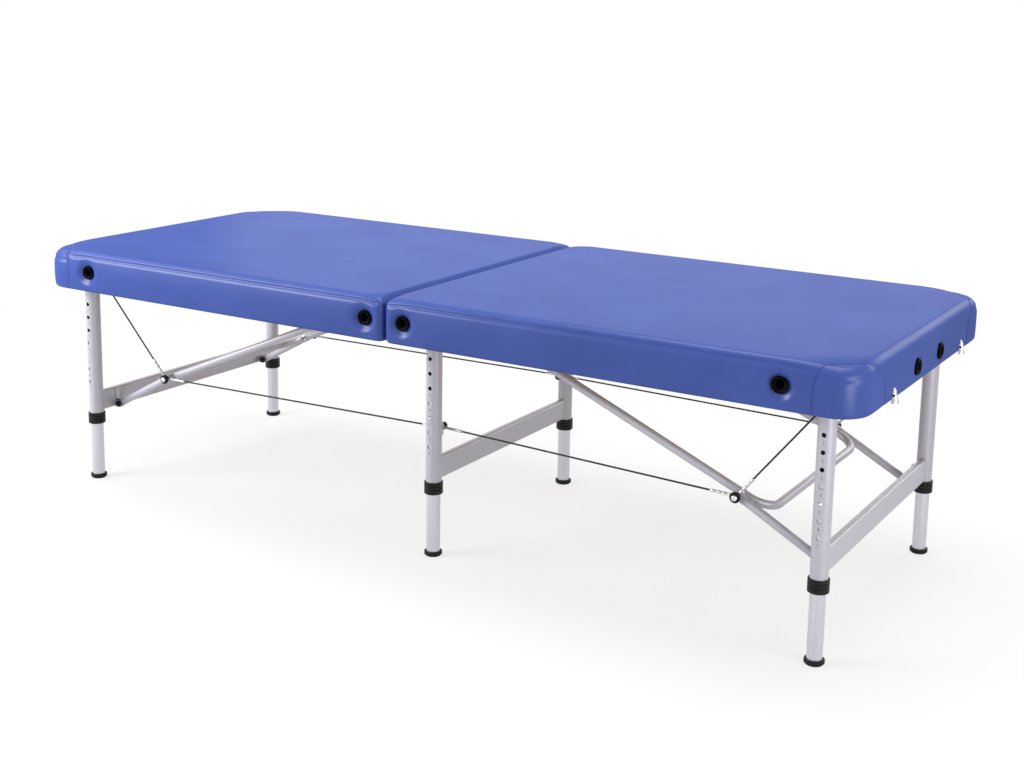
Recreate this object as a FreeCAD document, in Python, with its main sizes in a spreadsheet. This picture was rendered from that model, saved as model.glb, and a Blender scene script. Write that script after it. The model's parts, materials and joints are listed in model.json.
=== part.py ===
"""Folding therapy table: two padded panels on three telescopic leg frames.

X runs along the table with the fold at x = 0 and the right-hand panel at +X, the near long side is at -Y,
+Z is up and the floor is z = 0. All sizes are in millimetres.
"""
import FreeCAD, Part
import Sketcher
import math
import os

from FreeCAD import Placement, Rotation, Vector

# Driving dimensions: name, value

SIZES = {
    # panels
    "half_length": 942,
    "table_width": 750,
    "top_height": 546,
    "pad_height": 92,
    "fold_gap": 3,
    "end_corner": 60,
    "fold_corner": 14,
    "top_roll": 15,
    "foam_roll": 11,
    "bottom_roll": 5,
    "cover_top": 2,
    "side_wadding": 8,
    "hem_thickness": 1.5,
    "hem_width": 18,
    "rail_thickness": 18,
    "board_thickness": 5,
    "well_depth": 56,
    # sockets for arm rests and a head rest
    "socket_bore": 16,
    "socket_sleeve": 22,
    "socket_flange": 30,
    "flange_thickness": 3,
    "head_flange_thickness": 6,
    "socket_tail": 6,
    "socket_floor": 2,
    "socket_clearance": 0.1,
    "dimple_width": 46,
    "fold_socket_x": 45,
    "end_socket_overhang": 139,
    "side_socket_rise": 44,
    "head_socket_spread": 140,
    "head_socket_rise": 31,
    # catches on the right end
    "catch_spread": 416,
    "catch_width": 20,
    "catch_height": 26,
    "catch_plate": 2,
    "catch_lip": 3,
    "catch_screw": 7,
    # butt hinges under the fold
    "hinge_drop": 6.5,
    "hinge_inset": 195,
    "leaf_thickness": 2,
    "leaf_reach": 40,
    "leaf_width": 75,
    "knuckle_count": 5,
    "knuckle_gap": 0.3,
    "barrel_width": 9.6,
    "hinge_pin": 5,
    # legs
    "leg_overhang": 77,
    "end_leg_inset": 70,
    "mid_leg_x": 46,
    "mid_leg_inset": 110,
    "pivot_offset": 5,
    "folded_leg_rise": 24,
    "outer_tube": 32,
    "inner_tube": 28,
    "tube_wall": 1.5,
    "tube_above_pivot": 6.5,
    "outer_drop": 318,
    "hole_width": 8.4,
    "hole_pitch": 30,
    "hole_count": 7,
    "lock_hole": 5,
    "lock_drop": 164,
    "inner_above_lock": 44,
    "collar_width": 38,
    "collar_height": 25,
    "collar_lip": 5,
    "collar_groove": 1,
    "slide_clearance": 0.2,
    "foot_width": 36,
    "foot_height": 10,
    "foot_floor": 3.5,
    "foot_round": 3,
    "foot_clearance": 0.05,
    "button_width": 7.6,
    "button_stand": 1.5,
    "button_clearance": 0.2,
    "button_flange": 11,
    "button_flange_thickness": 1.5,
    "button_flange_outside": 10.9,
    # crossbars
    "crossbar_height": 46,
    "crossbar_thickness": 16,
    "crossbar_wall": 1.5,
    "crossbar_round": 5,
    "crossbar_rise": 15,
    # leg and brace brackets under the board
    "bracket_plate": 2.5,
    "bracket_length": 52,
    "ear_thickness": 3,
    "ear_clearance": 0.5,
    "ear_width": 24,
    "leg_pin": 8,
    "pin_head": 12,
    "pin_head_thickness": 2.5,
    "pin_reach": 14,
    "press_clearance": 0.02,
    "running_clearance": 0.05,
    # folding braces
    "brace_tube": 16,
    "brace_wall": 1.5,
    "brace_inset": 143,
    "brace_pivot_x": 105,
    "brace_rise": 43,
    "brace_flange": 14,
    "brace_sleeve": 15,
    "knuckle_setback": 175,
    "knuckle_drop": 204,
    "brace_bend": 45,
    "brace_overhang": 14,
    "knuckle_bolt": 8,
    "knuckle_nut": 13,
    "knuckle_nut_thickness": 5,
    "knuckle_head": 17,
    "knuckle_washer": 18,
    "open_pivot_gap": 0.4,
    # lower struts
    "strut_tube": 16,
    "strut_wall": 1.2,
    "strut_step": 18,
    "strut_eye": 16,
    "strut_eye_thickness": 6,
    "strut_flat": 16,
    "strut_pin": 6,
    "lug_ear": 2,
    "lug_ear_width": 16,
    "lug_plate": 2,
    "lug_plate_height": 44,
    # stay cables
    "cable": 3.5,
    "ferrule": 6,
    "ferrule_length": 40,
    "ferrule_start": 11,
    "cable_eye": 14,
    "cable_eye_thickness": 2.5,
    "cable_eye_gap": 0.8,
    "cable_eye_play": 0.25,
    "clip_drop": 192,
    "clip_width": 20,
    "clip_height": 26,
    "clip_plate": 3,
    "clip_wrap": 3,
    "clip_bolt": 6,
    "clip_head": 12,
    "clip_head_thickness": 2.5,
}

# Places that follow from the driving dimensions

PLACES = {
    "rim": "top_height - pad_height",
    "end_socket_x": "half_length - end_socket_overhang",
    "end_leg_x": "half_length - leg_overhang",
    "end_leg_y": "table_width / 2 - end_leg_inset",
    "mid_leg_y": "table_width / 2 - mid_leg_inset",
    "hinge_y": "table_width / 2 - hinge_inset",
    "brace_y": "table_width / 2 - brace_inset",
    "strut_y": "brace_y + strut_step",
    "knuckle_x": "end_leg_x - knuckle_setback",
    "knuckle_z": "rim - knuckle_drop",
    "outer_bottom": "rim - outer_drop",
    "lock_height": "rim - lock_drop",
    "clip_z": "rim - clip_drop",
}

doc = FreeCAD.newDocument("folding_table")
sheet = doc.addObject("Spreadsheet::Sheet", "sizes")
for row, (alias, number) in enumerate(SIZES.items(), start=1):
    sheet.set(f"A{row}", alias)
    sheet.set(f"B{row}", str(number))
    sheet.setAlias(f"B{row}", alias)
doc.recompute()

nodes = []


def formula(text):
    """A size formula with each sheet name written as the sheet's own cell, and each place worked out."""
    words = []
    word = ""
    for letter in text + " ":
        if letter.isalnum() or letter in "_.":
            word += letter
            continue
        if word in PLACES:
            word = f"({formula(PLACES[word])})"
        elif word in SIZES:
            word = f"sizes.{word}"
        words += [word, letter]
        word = ""
    return "".join(words).strip()


def number(text):
    """The value of a size formula."""
    return float(sheet.evalExpression(formula(text)))


def bind(thing, **values):
    """Ties properties of an object to size formulas."""
    for name, text in values.items():
        thing.setExpression(name, formula(text))
    return thing


TURNS = {
    "x": Rotation(Vector(0, 1, 0), 90),
    "y": Rotation(Vector(1, 0, 0), -90),
    "z": Rotation(),
}


def put(thing, x="0", y="0", z="0", turn=Rotation()):
    """Places an object by size formulas, after a fixed turn."""
    thing.Placement = Placement(Vector(), turn)
    for axis, text in zip("xyz", (x, y, z)):
        thing.setExpression(f"Placement.Base.{axis}", formula(text))
    return thing


def box(x, y, z, length, width, height):
    """A block from its lowest corner."""
    thing = doc.addObject("Part::Box", "block")
    bind(thing, Length=length, Width=width, Height=height)
    return put(thing, x, y, z)


def rod(diameter, length, x="0", y="0", z="0", along="z"):
    """A round bar that starts at a point and runs along an axis."""
    thing = doc.addObject("Part::Cylinder", "rod")
    bind(thing, Radius=f"({diameter}) / 2", Height=length)
    return put(thing, x, y, z, TURNS[along])


def fused(*parts):
    """One solid from several."""
    thing = doc.addObject("Part::MultiFuse", "fused")
    thing.Shapes = list(parts)
    return thing


def cut(base, *tools):
    """A solid less the tools."""
    thing = doc.addObject("Part::Cut", "cut")
    thing.Base = base
    thing.Tool = tools[0] if len(tools) == 1 else fused(*tools)
    return thing


def mirrored(source, normal):
    """The mirror image of an object across a plane through the origin."""
    thing = doc.addObject("Part::Mirroring", "mirrored")
    thing.Source = source
    thing.Base = Vector()
    thing.Normal = normal
    return thing


def far(source):
    """The far side's copy of a near-side piece."""
    return mirrored(source, Vector(0, 1, 0))


def left(source):
    """The left panel's copy of a right-hand piece."""
    return mirrored(source, Vector(1, 0, 0))


def group(*parts):
    """Separate solids that share a node."""
    thing = doc.addObject("Part::Compound", "group")
    thing.Links = list(parts)
    return thing


def node(label, thing):
    """Names an object as a sub-part."""
    thing.Label = label
    nodes.append(thing)
    return thing


def both_sides(label, thing):
    """A node with a near piece and its far copy."""
    return node(label, group(thing, far(thing)))


# Sketched bodies

def body_plane(body, role):
    """One of a body's own origin planes."""
    return next(f for f in body.Origin.OriginFeatures if f.Role == role)


def outline(body, plane, points):
    """A closed sketch through points given as pairs of size formulas."""
    sketch = body.newObject("Sketcher::SketchObject", "outline")
    sketch.AttachmentSupport = [(body_plane(body, plane), "")]
    sketch.MapMode = "FlatFace"
    corners = [Vector(number(u), number(v), 0) for u, v in points]
    count = len(corners)
    for i in range(count):
        sketch.addGeometry(Part.LineSegment(corners[i], corners[(i + 1) % count]), False)
    for i in range(count):
        sketch.addConstraint(Sketcher.Constraint("Coincident", i, 2, (i + 1) % count, 1))
    for i, (corner, pair) in enumerate(zip(corners, points)):
        for kind, value, axis, text in (
            ("DistanceX", corner.x, -2, pair[0]),
            ("DistanceY", corner.y, -1, pair[1]),
        ):
            if abs(value) < 1e-9:
                sketch.addConstraint(Sketcher.Constraint("PointOnObject", i, 1, axis))
                continue
            held = sketch.addConstraint(Sketcher.Constraint(kind, -1, 1, i, 1, value))
            sketch.setExpression(f"Constraints[{held}]", formula(text))
    return sketch


def turned(points, x="0", y="0", z="0", turn=Rotation()):
    """A turned piece: an outline of (radius, height) pairs spun about its own Z axis."""
    body = doc.addObject("PartDesign::Body", "turned")
    profile = outline(body, "XZ_Plane", points)
    spin = body.newObject("PartDesign::Revolution", "spin")
    spin.Profile = profile
    spin.ReferenceAxis = (profile, ["V_Axis"])
    spin.Angle = 360
    return put(body, x, y, z, turn)


def fillet(body, base, edges, radius):
    """Rounds some edges of a body's feature."""
    round_off = body.newObject("PartDesign::Fillet", "round_off")
    round_off.Base = (base, edges)
    bind(round_off, Radius=radius)
    doc.recompute()
    return round_off


def edges_where(feature, test):
    """The names of a feature's edges whose two end points both pass a test."""
    found = []
    for i, edge in enumerate(feature.Shape.Edges, start=1):
        points = [vertex.Point for vertex in edge.Vertexes]
        if len(points) == 2 and test(*points):
            found.append(f"Edge{i}")
    return found


def upright(a, b):
    """Whether two points are ends of an upright edge."""
    return abs(a.x - b.x) < 1e-6 and abs(a.y - b.y) < 1e-6


def slab(inset, low, high, end_corner, fold_corner):
    """A right-hand panel layer, set in from the panel's outline, with round upright corners."""
    body = doc.addObject("PartDesign::Body", "slab")
    fold_side = f"fold_gap / 2 + {inset}"
    end_side = f"half_length - {inset}"
    side = f"table_width / 2 - {inset}"
    plan = [(fold_side, f"-({side})"), (end_side, f"-({side})"), (end_side, side), (fold_side, side)]
    profile = outline(body, "XY_Plane", plan)
    pad = body.newObject("PartDesign::Pad", "layer")
    pad.Profile = profile
    bind(pad, Length=f"({high}) - ({low})")
    put(body, z=low)
    doc.recompute()
    middle = number("half_length / 2")
    end_edges = edges_where(pad, lambda a, b: upright(a, b) and a.x > middle)
    rounded = fillet(body, pad, end_edges, end_corner)
    fold_edges = edges_where(
        rounded, lambda a, b: upright(a, b) and abs(a.x - number(fold_side)) < 1e-6
    )
    return body, fillet(body, rounded, fold_edges, fold_corner)


# Heights and pivots that several pieces share

RIM = "rim"
BOARD_UNDER = f"({RIM} + well_depth)"
BOARD_TOP = f"({BOARD_UNDER} + board_thickness)"
LEG_PIVOT_X = "(end_leg_x + pivot_offset)"
LEG_PIVOT_Z = f"({RIM} + folded_leg_rise - pivot_offset)"
MID_PIVOT_X = "(mid_leg_x - pivot_offset)"
BRACE_PIVOT_Z = f"({RIM} + brace_rise)"
STRUT_PIVOT_X = f"({LEG_PIVOT_X} - (brace_rise - folded_leg_rise + pivot_offset))"
FOLD_Z = f"({RIM} - hinge_drop)"
SIDE = "(table_width / 2)"
RAIL_FACE = f"({SIDE} - side_wadding)"
END_FACE = "(half_length - side_wadding)"
EAR_OUT = "(outer_tube / 2 + ear_clearance + ear_thickness)"


# Folded, the strut's pivot lies in line with the brace, so the brace less the strut spans the rest

BRACE_ARM = f"hypot(knuckle_x - brace_pivot_x; {BRACE_PIVOT_Z} - knuckle_z)"
FOLDED_REACH = f"({BRACE_ARM} - ({LEG_PIVOT_X} - {LEG_PIVOT_Z} - brace_pivot_x))"
STRUT_RUN = f"({STRUT_PIVOT_X} - knuckle_x)"
STRUT_PIVOT_Z = f"(({FOLDED_REACH}^2 - {STRUT_RUN}^2 - knuckle_z^2) / (2 * ({FOLDED_REACH} - knuckle_z)))"
STRUT_SPAN = f"hypot({STRUT_RUN}; knuckle_z - {STRUT_PIVOT_Z})"
CROSSBAR_Z = f"({STRUT_PIVOT_Z} + crossbar_rise)"

BRACE_PIVOT = Vector(number("brace_pivot_x"), 0, number(BRACE_PIVOT_Z))
KNUCKLE = Vector(number("knuckle_x"), 0, number("knuckle_z"))
STRUT_PIVOT = Vector(number(STRUT_PIVOT_X), 0, number(STRUT_PIVOT_Z))


# Panels

def socket_places():
    """Side sockets of the right-hand panel's near side, then its end sockets: (point, outward axis)."""
    side_z = f"{RIM} + side_socket_rise"
    places = [((x, f"-{RAIL_FACE}", side_z), "side") for x in ("fold_socket_x", "end_socket_x")]
    places.append(((END_FACE, "-head_socket_spread / 2", f"{RIM} + head_socket_rise"), "end"))
    return places


SOCKET_TURN = {"side": Rotation(Vector(1, 0, 0), 90), "end": Rotation(Vector(0, 1, 0), 90)}


def socket(place, facing):
    """A flanged plastic cup whose flange seats on the rail, axis outwards."""
    inner = "socket_bore / 2"
    sleeve = "socket_sleeve / 2"
    flange = "socket_flange / 2"
    tail = "-(rail_thickness + socket_tail)"
    face = "flange_thickness" if facing == "side" else "head_flange_thickness"
    lip = "flange_thickness / 2"
    profile = [
        ("0", tail),
        (sleeve, tail),
        (sleeve, "0"),
        (flange, "0"),
        (flange, f"{face} - {lip}"),
        (f"{flange} - {lip}", face),
        (f"{inner} + {lip}", face),
        (inner, f"{face} - {lip}"),
        (inner, f"{tail} + socket_floor"),
        ("0", f"{tail} + socket_floor"),
    ]
    return turned(profile, *place, SOCKET_TURN[facing])


def socket_holes(place, facing):
    """The hole that a socket's sleeve goes through."""
    depth = "rail_thickness + 2 * socket_tail"
    hole = doc.addObject("Part::Cylinder", "socket_hole")
    bind(hole, Radius="socket_sleeve / 2 + socket_clearance", Height=f"{depth} + side_wadding")
    x, y, z = place
    if facing == "side":
        return put(hole, x, f"{y} + {depth}", z, SOCKET_TURN[facing])
    return put(hole, f"{x} - ({depth})", y, z, SOCKET_TURN[facing])


def socket_dimple(place, facing):
    """The funnel that the cover is drawn in to round a socket."""
    dimple = doc.addObject("Part::Cone", "dimple")
    bind(
        dimple,
        Radius1="socket_flange / 2 + socket_clearance",
        Radius2="dimple_width / 2",
        Height="side_wadding",
    )
    return put(dimple, *place, SOCKET_TURN[facing])


def pair_tools(make):
    """A socket tool for every socket of the right-hand panel."""
    tools = []
    for place, facing in socket_places():
        tool = make(place, facing)
        tools += [tool, far(tool)]
    return tools


def rolled_slab(inset, low, end_corner, fold_corner, top, roll):
    """A panel layer whose top edges are rolled over."""
    body, rounded = slab(inset, low, top, end_corner, fold_corner)
    height = number(f"({top}) - ({low})")
    top_edges = edges_where(rounded, lambda a, b: abs(a.z - height) < 1e-6 and abs(b.z - height) < 1e-6)
    return body, fillet(body, rounded, top_edges, roll)


def cover():
    """Vinyl cover with wadded sides, open below but for a hem under the rails."""
    body, rolled = rolled_slab("0", RIM, "end_corner", "fold_corner", "top_height", "top_roll")
    low_edges = edges_where(rolled, lambda a, b: abs(a.z) < 1e-6 and abs(b.z) < 1e-6)
    fillet(body, rolled, low_edges, "bottom_roll")
    hollow = rolled_slab(
        "side_wadding", f"{RIM} + hem_thickness", "end_corner - side_wadding",
        "fold_corner - side_wadding", "top_height - cover_top", "foam_roll",
    )[0]
    mouth = slab(
        "(side_wadding + hem_width)", f"{RIM} - hem_thickness", f"{RIM} + 2 * hem_thickness",
        "end_corner - side_wadding - hem_width", "fold_corner - side_wadding",
    )[0]
    return cut(body, hollow, mouth, *pair_tools(socket_dimple))


def rails():
    """Side rails the length of the panel, with the end and fold rails between them."""
    low = f"{RIM} + hem_thickness"
    ring = cut(
        slab("side_wadding", low, BOARD_UNDER, "end_corner - side_wadding", "fold_corner - side_wadding")[0],
        slab(
            "(side_wadding + rail_thickness)", RIM, f"{BOARD_UNDER} + hem_thickness",
            "end_corner - side_wadding - rail_thickness", "fold_corner - side_wadding",
        )[0],
        *pair_tools(socket_holes),
    )
    inner = f"({RAIL_FACE} - rail_thickness)"
    side = doc.addObject("Part::Common", "side_rail")
    side.Base = ring
    side.Tool = box("0", f"-{SIDE}", RIM, "half_length", f"{SIDE} - {inner}", "pad_height")
    middle = "half_length / 2"
    rail_parts = [side, far(side)]
    for start in ("0", middle):
        between = doc.addObject("Part::Common", "cross_rail")
        between.Base = ring
        between.Tool = box(start, f"-{inner}", RIM, middle, f"2 * {inner}", "pad_height")
        rail_parts.append(between)
    return group(*rail_parts)


def panel():
    """The right-hand panel's own pieces, and their copies on the left."""
    right_parts = {
        "cover": cover(),
        "foam": rolled_slab(
            "side_wadding", BOARD_TOP, "end_corner - side_wadding",
            "fold_corner - side_wadding", "top_height - cover_top", "foam_roll",
        )[0],
        "board": slab(
            "side_wadding", BOARD_UNDER, BOARD_TOP,
            "end_corner - side_wadding", "fold_corner - side_wadding",
        )[0],
        "rails": rails(),
        "sockets": group(*pair_tools(socket)),
    }
    for name, thing in right_parts.items():
        node(f"right_{name}", thing)
        node(f"left_{name}", left(thing))


def catches():
    """Bell-shaped catch plates with a hooked lip, at the foot of the right end face."""
    body = doc.addObject("PartDesign::Body", "catch")
    half = "catch_width / 2"
    low = "-catch_plate"
    profile = [
        (f"-{half}", low),
        (half, low),
        (half, "catch_height / 3"),
        (f"{half} / 2", "catch_height - catch_plate"),
        (f"-{half} / 2", "catch_height - catch_plate"),
        (f"-{half}", "catch_height / 3"),
    ]
    shape = outline(body, "YZ_Plane", profile)
    pad = body.newObject("PartDesign::Pad", "plate")
    pad.Profile = shape
    bind(pad, Length="catch_plate")
    put(body, "half_length", "-catch_spread / 2", RIM)
    lip = box(
        "half_length", "-catch_spread / 2 - catch_width / 2", f"{RIM} - catch_plate",
        "catch_plate + catch_lip", "catch_width", "catch_plate",
    )
    screw = rod(
        "catch_screw", "2 * catch_plate", "half_length", "-catch_spread / 2",
        f"{RIM} + catch_height / 2", "x",
    )
    both_sides("catches", fused(body, lip, screw))


# Hinges at the fold

def hinge_leaf(own_knuckles, sign):
    """A near hinge leaf under the rim, with its share of the barrel's knuckles."""
    pitch = "leaf_width / knuckle_count"
    near_end = "(-hinge_y - leaf_width / 2)"
    edge = "(barrel_width / 2 + knuckle_gap)"
    span = f"(leaf_reach - {edge})"
    start = edge if sign > 0 else "-leaf_reach"
    parts = [box(start, near_end, f"{RIM} - leaf_thickness", span, "leaf_width", "leaf_thickness")]
    for k in own_knuckles:
        low_y = f"{near_end} + {k} * {pitch} + knuckle_gap / 2"
        width = f"{pitch} - knuckle_gap"
        parts.append(rod("barrel_width", width, "0", low_y, FOLD_Z, "y"))
        bridge_x = "0" if sign > 0 else f"-{edge}"
        parts.append(box(bridge_x, low_y, f"{RIM} - leaf_thickness", edge, width, "leaf_thickness"))
    bore = rod(
        "hinge_pin + 2 * running_clearance", "leaf_width + 2 * knuckle_gap", "0",
        f"{near_end} - knuckle_gap", FOLD_Z, "y",
    )
    return cut(fused(*parts), bore)


def hinges():
    """Two butt hinges, each with a pin held by the right-hand leaf."""
    odd = range(1, int(number("knuckle_count")), 2)
    even = range(0, int(number("knuckle_count")), 2)
    both_sides("right_hinge_leaves", hinge_leaf(even, 1))
    both_sides("left_hinge_leaves", hinge_leaf(odd, -1))
    pin = rod("hinge_pin", "leaf_width", "0", "-hinge_y - leaf_width / 2", FOLD_Z, "y")
    both_sides("hinge_pins", pin)


# Legs

def outer_tube(x, y, pivot_x):
    """A near leg's outer tube, with its pivot hole and the row of locking holes."""
    top = f"({LEG_PIVOT_Z} + tube_above_pivot)"
    shell = rod("outer_tube", f"{top} - outer_bottom", x, f"-{y}", "outer_bottom")
    hollow = rod("outer_tube - 2 * tube_wall", f"{top} - outer_bottom", x, f"-{y}", "outer_bottom")
    across = "outer_tube"
    start = f"-{y} - {across}"
    tools = [
        hollow,
        rod("leg_pin + 2 * running_clearance", f"2 * {across}", pivot_x, start, LEG_PIVOT_Z, "y"),
    ]
    for k in range(1, int(number("hole_count")) + 1):
        z = f"lock_height + (lock_hole - {k}) * hole_pitch"
        tools.append(rod("hole_width", across, x, start, z, "y"))
    return cut(shell, *tools)


def inner_tube(x, y):
    """A near leg's inner tube, standing in its foot, with the button's hole."""
    top = "(lock_height + inner_above_lock)"
    shell = rod("inner_tube", f"{top} - foot_floor", x, f"-{y}", "foot_floor")
    hollow = rod("inner_tube - 2 * tube_wall", f"{top} - foot_floor", x, f"-{y}", "foot_floor")
    width = "button_width + 2 * button_clearance"
    hole = rod(width, "inner_tube", x, f"-{y} - inner_tube", "lock_height", "y")
    return cut(shell, hollow, hole)


def collar(x, y):
    """A grooved plastic collar on the outer tube's end that guides the inner tube."""
    bore = "(inner_tube / 2 + slide_clearance)"
    seat = "(outer_tube / 2 + running_clearance)"
    rim = "collar_width / 2"
    low = "(outer_bottom - collar_lip)"
    high = f"({low} + collar_height)"
    profile = [(bore, low), (f"{rim} - collar_groove", low), (rim, f"{low} + collar_groove")]
    for share in ("0.4", "0.7"):
        middle = f"{low} + {share} * collar_height"
        profile += [
            (rim, f"{middle} - collar_groove"),
            (f"{rim} - collar_groove", middle),
            (rim, f"{middle} + collar_groove"),
        ]
    profile += [
        (rim, f"{high} - collar_groove"),
        (f"{rim} - collar_groove", high),
        (seat, high),
        (seat, "outer_bottom"),
        (bore, "outer_bottom"),
    ]
    return turned(profile, x, f"-{y}")


def foot(x, y):
    """A rubber cup under the inner tube."""
    rim = "foot_width / 2"
    socket_radius = "(inner_tube / 2 + foot_clearance)"
    profile = [
        ("0", "0"),
        (f"{rim} - foot_round", "0"),
        (rim, "foot_round"),
        (rim, "foot_height - foot_round / 3"),
        (f"{rim} - foot_round / 3", "foot_height"),
        (socket_radius, "foot_height"),
        (socket_radius, "foot_floor"),
        ("0", "foot_floor"),
    ]
    return turned(profile, x, f"-{y}")


def button(x, y):
    """A domed snap button with a flange that stays inside the inner tube, axis outwards."""
    shaft = "button_width / 2"
    tip = "outer_tube / 2 + button_stand"
    flange = "button_flange_outside"
    profile = [
        ("0", f"{flange} - button_flange_thickness"),
        ("button_flange / 2", f"{flange} - button_flange_thickness"),
        ("button_flange / 2", flange),
        (shaft, flange),
        (shaft, f"{tip} - button_stand"),
        (f"{shaft} - button_stand", tip),
        ("0", tip),
    ]
    return turned(profile, x, f"-{y}", "lock_height", SOCKET_TURN["side"])


def crossbar(x, y):
    """A rounded box section between a pair of legs, its ends cut to fit round the tubes."""
    body = doc.addObject("PartDesign::Body", "crossbar")
    half_thick = "crossbar_thickness / 2"
    half_high = "crossbar_height / 2"
    section = [
        (f"-{half_thick}", f"-{half_high}"),
        (half_thick, f"-{half_high}"),
        (half_thick, half_high),
        (f"-{half_thick}", half_high),
    ]
    profile = outline(body, "XZ_Plane", section)
    pad = body.newObject("PartDesign::Pad", "bar")
    pad.Profile = profile
    pad.Midplane = True
    bind(pad, Length=f"2 * {y}")
    doc.recompute()
    long_edges = edges_where(pad, lambda a, b: abs(a.x - b.x) < 1e-6 and abs(a.z - b.z) < 1e-6)
    fillet(body, pad, long_edges, "crossbar_round")
    put(body, x, "0", CROSSBAR_Z)
    inside = box(
        f"{x} - {half_thick} + crossbar_wall", f"-{y}", f"{CROSSBAR_Z} - {half_high} + crossbar_wall",
        "crossbar_thickness - 2 * crossbar_wall", f"2 * {y}", "crossbar_height - 2 * crossbar_wall",
    )
    low = f"{CROSSBAR_Z} - {half_high} - crossbar_wall"
    tube = rod("outer_tube", "crossbar_height + 2 * crossbar_wall", x, f"-{y}", low)
    return cut(body, inside, tube, far(tube))


def leg_bracket(y, pivot_x, plate_x):
    """A channel under the board whose ears hold a near leg's pivot pin."""
    half_width = EAR_OUT
    plate_low = f"({BOARD_UNDER} - bracket_plate)"
    plate = box(
        plate_x, f"-{y} - {half_width}", plate_low,
        "bracket_length", f"2 * {half_width}", "bracket_plate",
    )
    parts = [plate]
    for ear_y in (f"-{y} - {half_width}", f"-{y} + {half_width} - ear_thickness"):
        parts.append(rod("ear_width", "ear_thickness", pivot_x, ear_y, LEG_PIVOT_Z, "y"))
        parts.append(
            box(
                f"{pivot_x} - ear_width / 2", ear_y, LEG_PIVOT_Z,
                "ear_width", "ear_thickness", f"{plate_low} - {LEG_PIVOT_Z}",
            )
        )
    hole = rod(
        "leg_pin + 2 * press_clearance", f"2 * {half_width}",
        pivot_x, f"-{y} - {half_width}", LEG_PIVOT_Z, "y",
    )
    return cut(fused(*parts), hole)


def leg_pin(y, pivot_x, reach):
    """A headed pivot pin, which on an end leg reaches inwards to carry a cable."""
    start = f"(-{y} - {EAR_OUT})"
    return fused(
        rod("pin_head", "pin_head_thickness", pivot_x, f"{start} - pin_head_thickness", LEG_PIVOT_Z, "y"),
        rod("leg_pin", f"2 * {EAR_OUT} + {reach}", pivot_x, start, LEG_PIVOT_Z, "y"),
    )


def brace_bracket():
    """Two angle plates under the board, one each side of a near brace arm, and their pin."""
    outer = "(brace_tube / 2 + ear_clearance)"
    parts = []
    ear_height = f"{BOARD_UNDER} - {BRACE_PIVOT_Z}"
    low_x = "brace_pivot_x - brace_sleeve / 2"
    hole = rod(
        "leg_pin + 2 * press_clearance", "4 * brace_tube", "brace_pivot_x", "-brace_y - 2 * brace_tube",
        BRACE_PIVOT_Z, "y",
    )
    for ear_y, flange_y in (
        (f"-brace_y - {outer} - ear_thickness", f"-brace_y - {outer} - brace_flange"),
        (f"-brace_y + {outer}", f"-brace_y + {outer}"),
    ):
        angle = fused(
            rod("brace_sleeve", "ear_thickness", "brace_pivot_x", ear_y, BRACE_PIVOT_Z, "y"),
            box(low_x, ear_y, BRACE_PIVOT_Z, "brace_sleeve", "ear_thickness", ear_height),
            box(
                low_x, flange_y, f"{BOARD_UNDER} - bracket_plate",
                "brace_sleeve", "brace_flange", "bracket_plate",
            ),
        )
        parts.append(cut(angle, hole))
    pin_start = f"(-brace_y - {outer} - ear_thickness)"
    parts.append(
        rod("leg_pin", f"2 * ({outer} + ear_thickness)", "brace_pivot_x", pin_start, BRACE_PIVOT_Z, "y")
    )
    return parts


def legs():
    """Three leg frames with their telescopic feet, buttons and brackets."""
    end_near = {
        "outer_tube": outer_tube("end_leg_x", "end_leg_y", LEG_PIVOT_X),
        "inner_tube": inner_tube("end_leg_x", "end_leg_y"),
        "foot": foot("end_leg_x", "end_leg_y"),
        "button": button("end_leg_x", "end_leg_y"),
    }
    mid_near = {
        "outer_tube": outer_tube("mid_leg_x", "mid_leg_y", MID_PIVOT_X),
        "inner_tube": inner_tube("mid_leg_x", "mid_leg_y"),
        "foot": foot("mid_leg_x", "mid_leg_y"),
        "button": button("mid_leg_x", "mid_leg_y"),
    }
    for name, thing in end_near.items():
        node(f"right_near_{name}", thing)
        node(f"left_near_{name}", left(thing))
        opposite = node(f"right_far_{name}", far(thing))
        node(f"left_far_{name}", left(opposite))
    for name, thing in mid_near.items():
        node(f"mid_near_{name}", thing)
        node(f"mid_far_{name}", far(thing))
    end_bar = node("right_crossbar", crossbar("end_leg_x", "end_leg_y"))
    node("left_crossbar", left(end_bar))
    node("mid_crossbar", crossbar("mid_leg_x", "mid_leg_y"))
    end_collars = both_sides("right_collars", collar("end_leg_x", "end_leg_y"))
    node("left_collars", left(end_collars))
    both_sides("mid_collars", collar("mid_leg_x", "mid_leg_y"))


def brackets():
    """All the steel brackets and pivot pins under each panel."""
    end_parts = [
        leg_bracket("end_leg_y", LEG_PIVOT_X, f"{LEG_PIVOT_X} - bracket_length / 2"),
        leg_pin("end_leg_y", LEG_PIVOT_X, "pin_reach"),
        *brace_bracket(),
    ]
    end_parts += [far(thing) for thing in end_parts]
    end_group = group(*end_parts)
    mid_parts = [
        leg_bracket("mid_leg_y", MID_PIVOT_X, f"{MID_PIVOT_X} - ear_width / 2"),
        leg_pin("mid_leg_y", MID_PIVOT_X, "pin_head_thickness"),
    ]
    mid_parts += [far(thing) for thing in mid_parts]
    node("right_brackets", group(*end_parts, *mid_parts))
    node("left_brackets", left(end_group))


# Folding braces

def along(start, end, y):
    """A placement at a point on a near pivot's axis with its X axis towards another pivot."""
    way = end - start
    slope = math.degrees(math.atan2(way.z, way.x))
    return Placement(Vector(start.x, -y, start.z), Rotation(Vector(0, -1, 0), slope))


def tube(length, x, y, along_axis):
    """A straight piece of brace tube."""
    return cut(
        rod("brace_tube", length, x, y, "0", along_axis),
        rod("brace_tube - 2 * brace_wall", length, x, y, "0", along_axis),
    )


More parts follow.
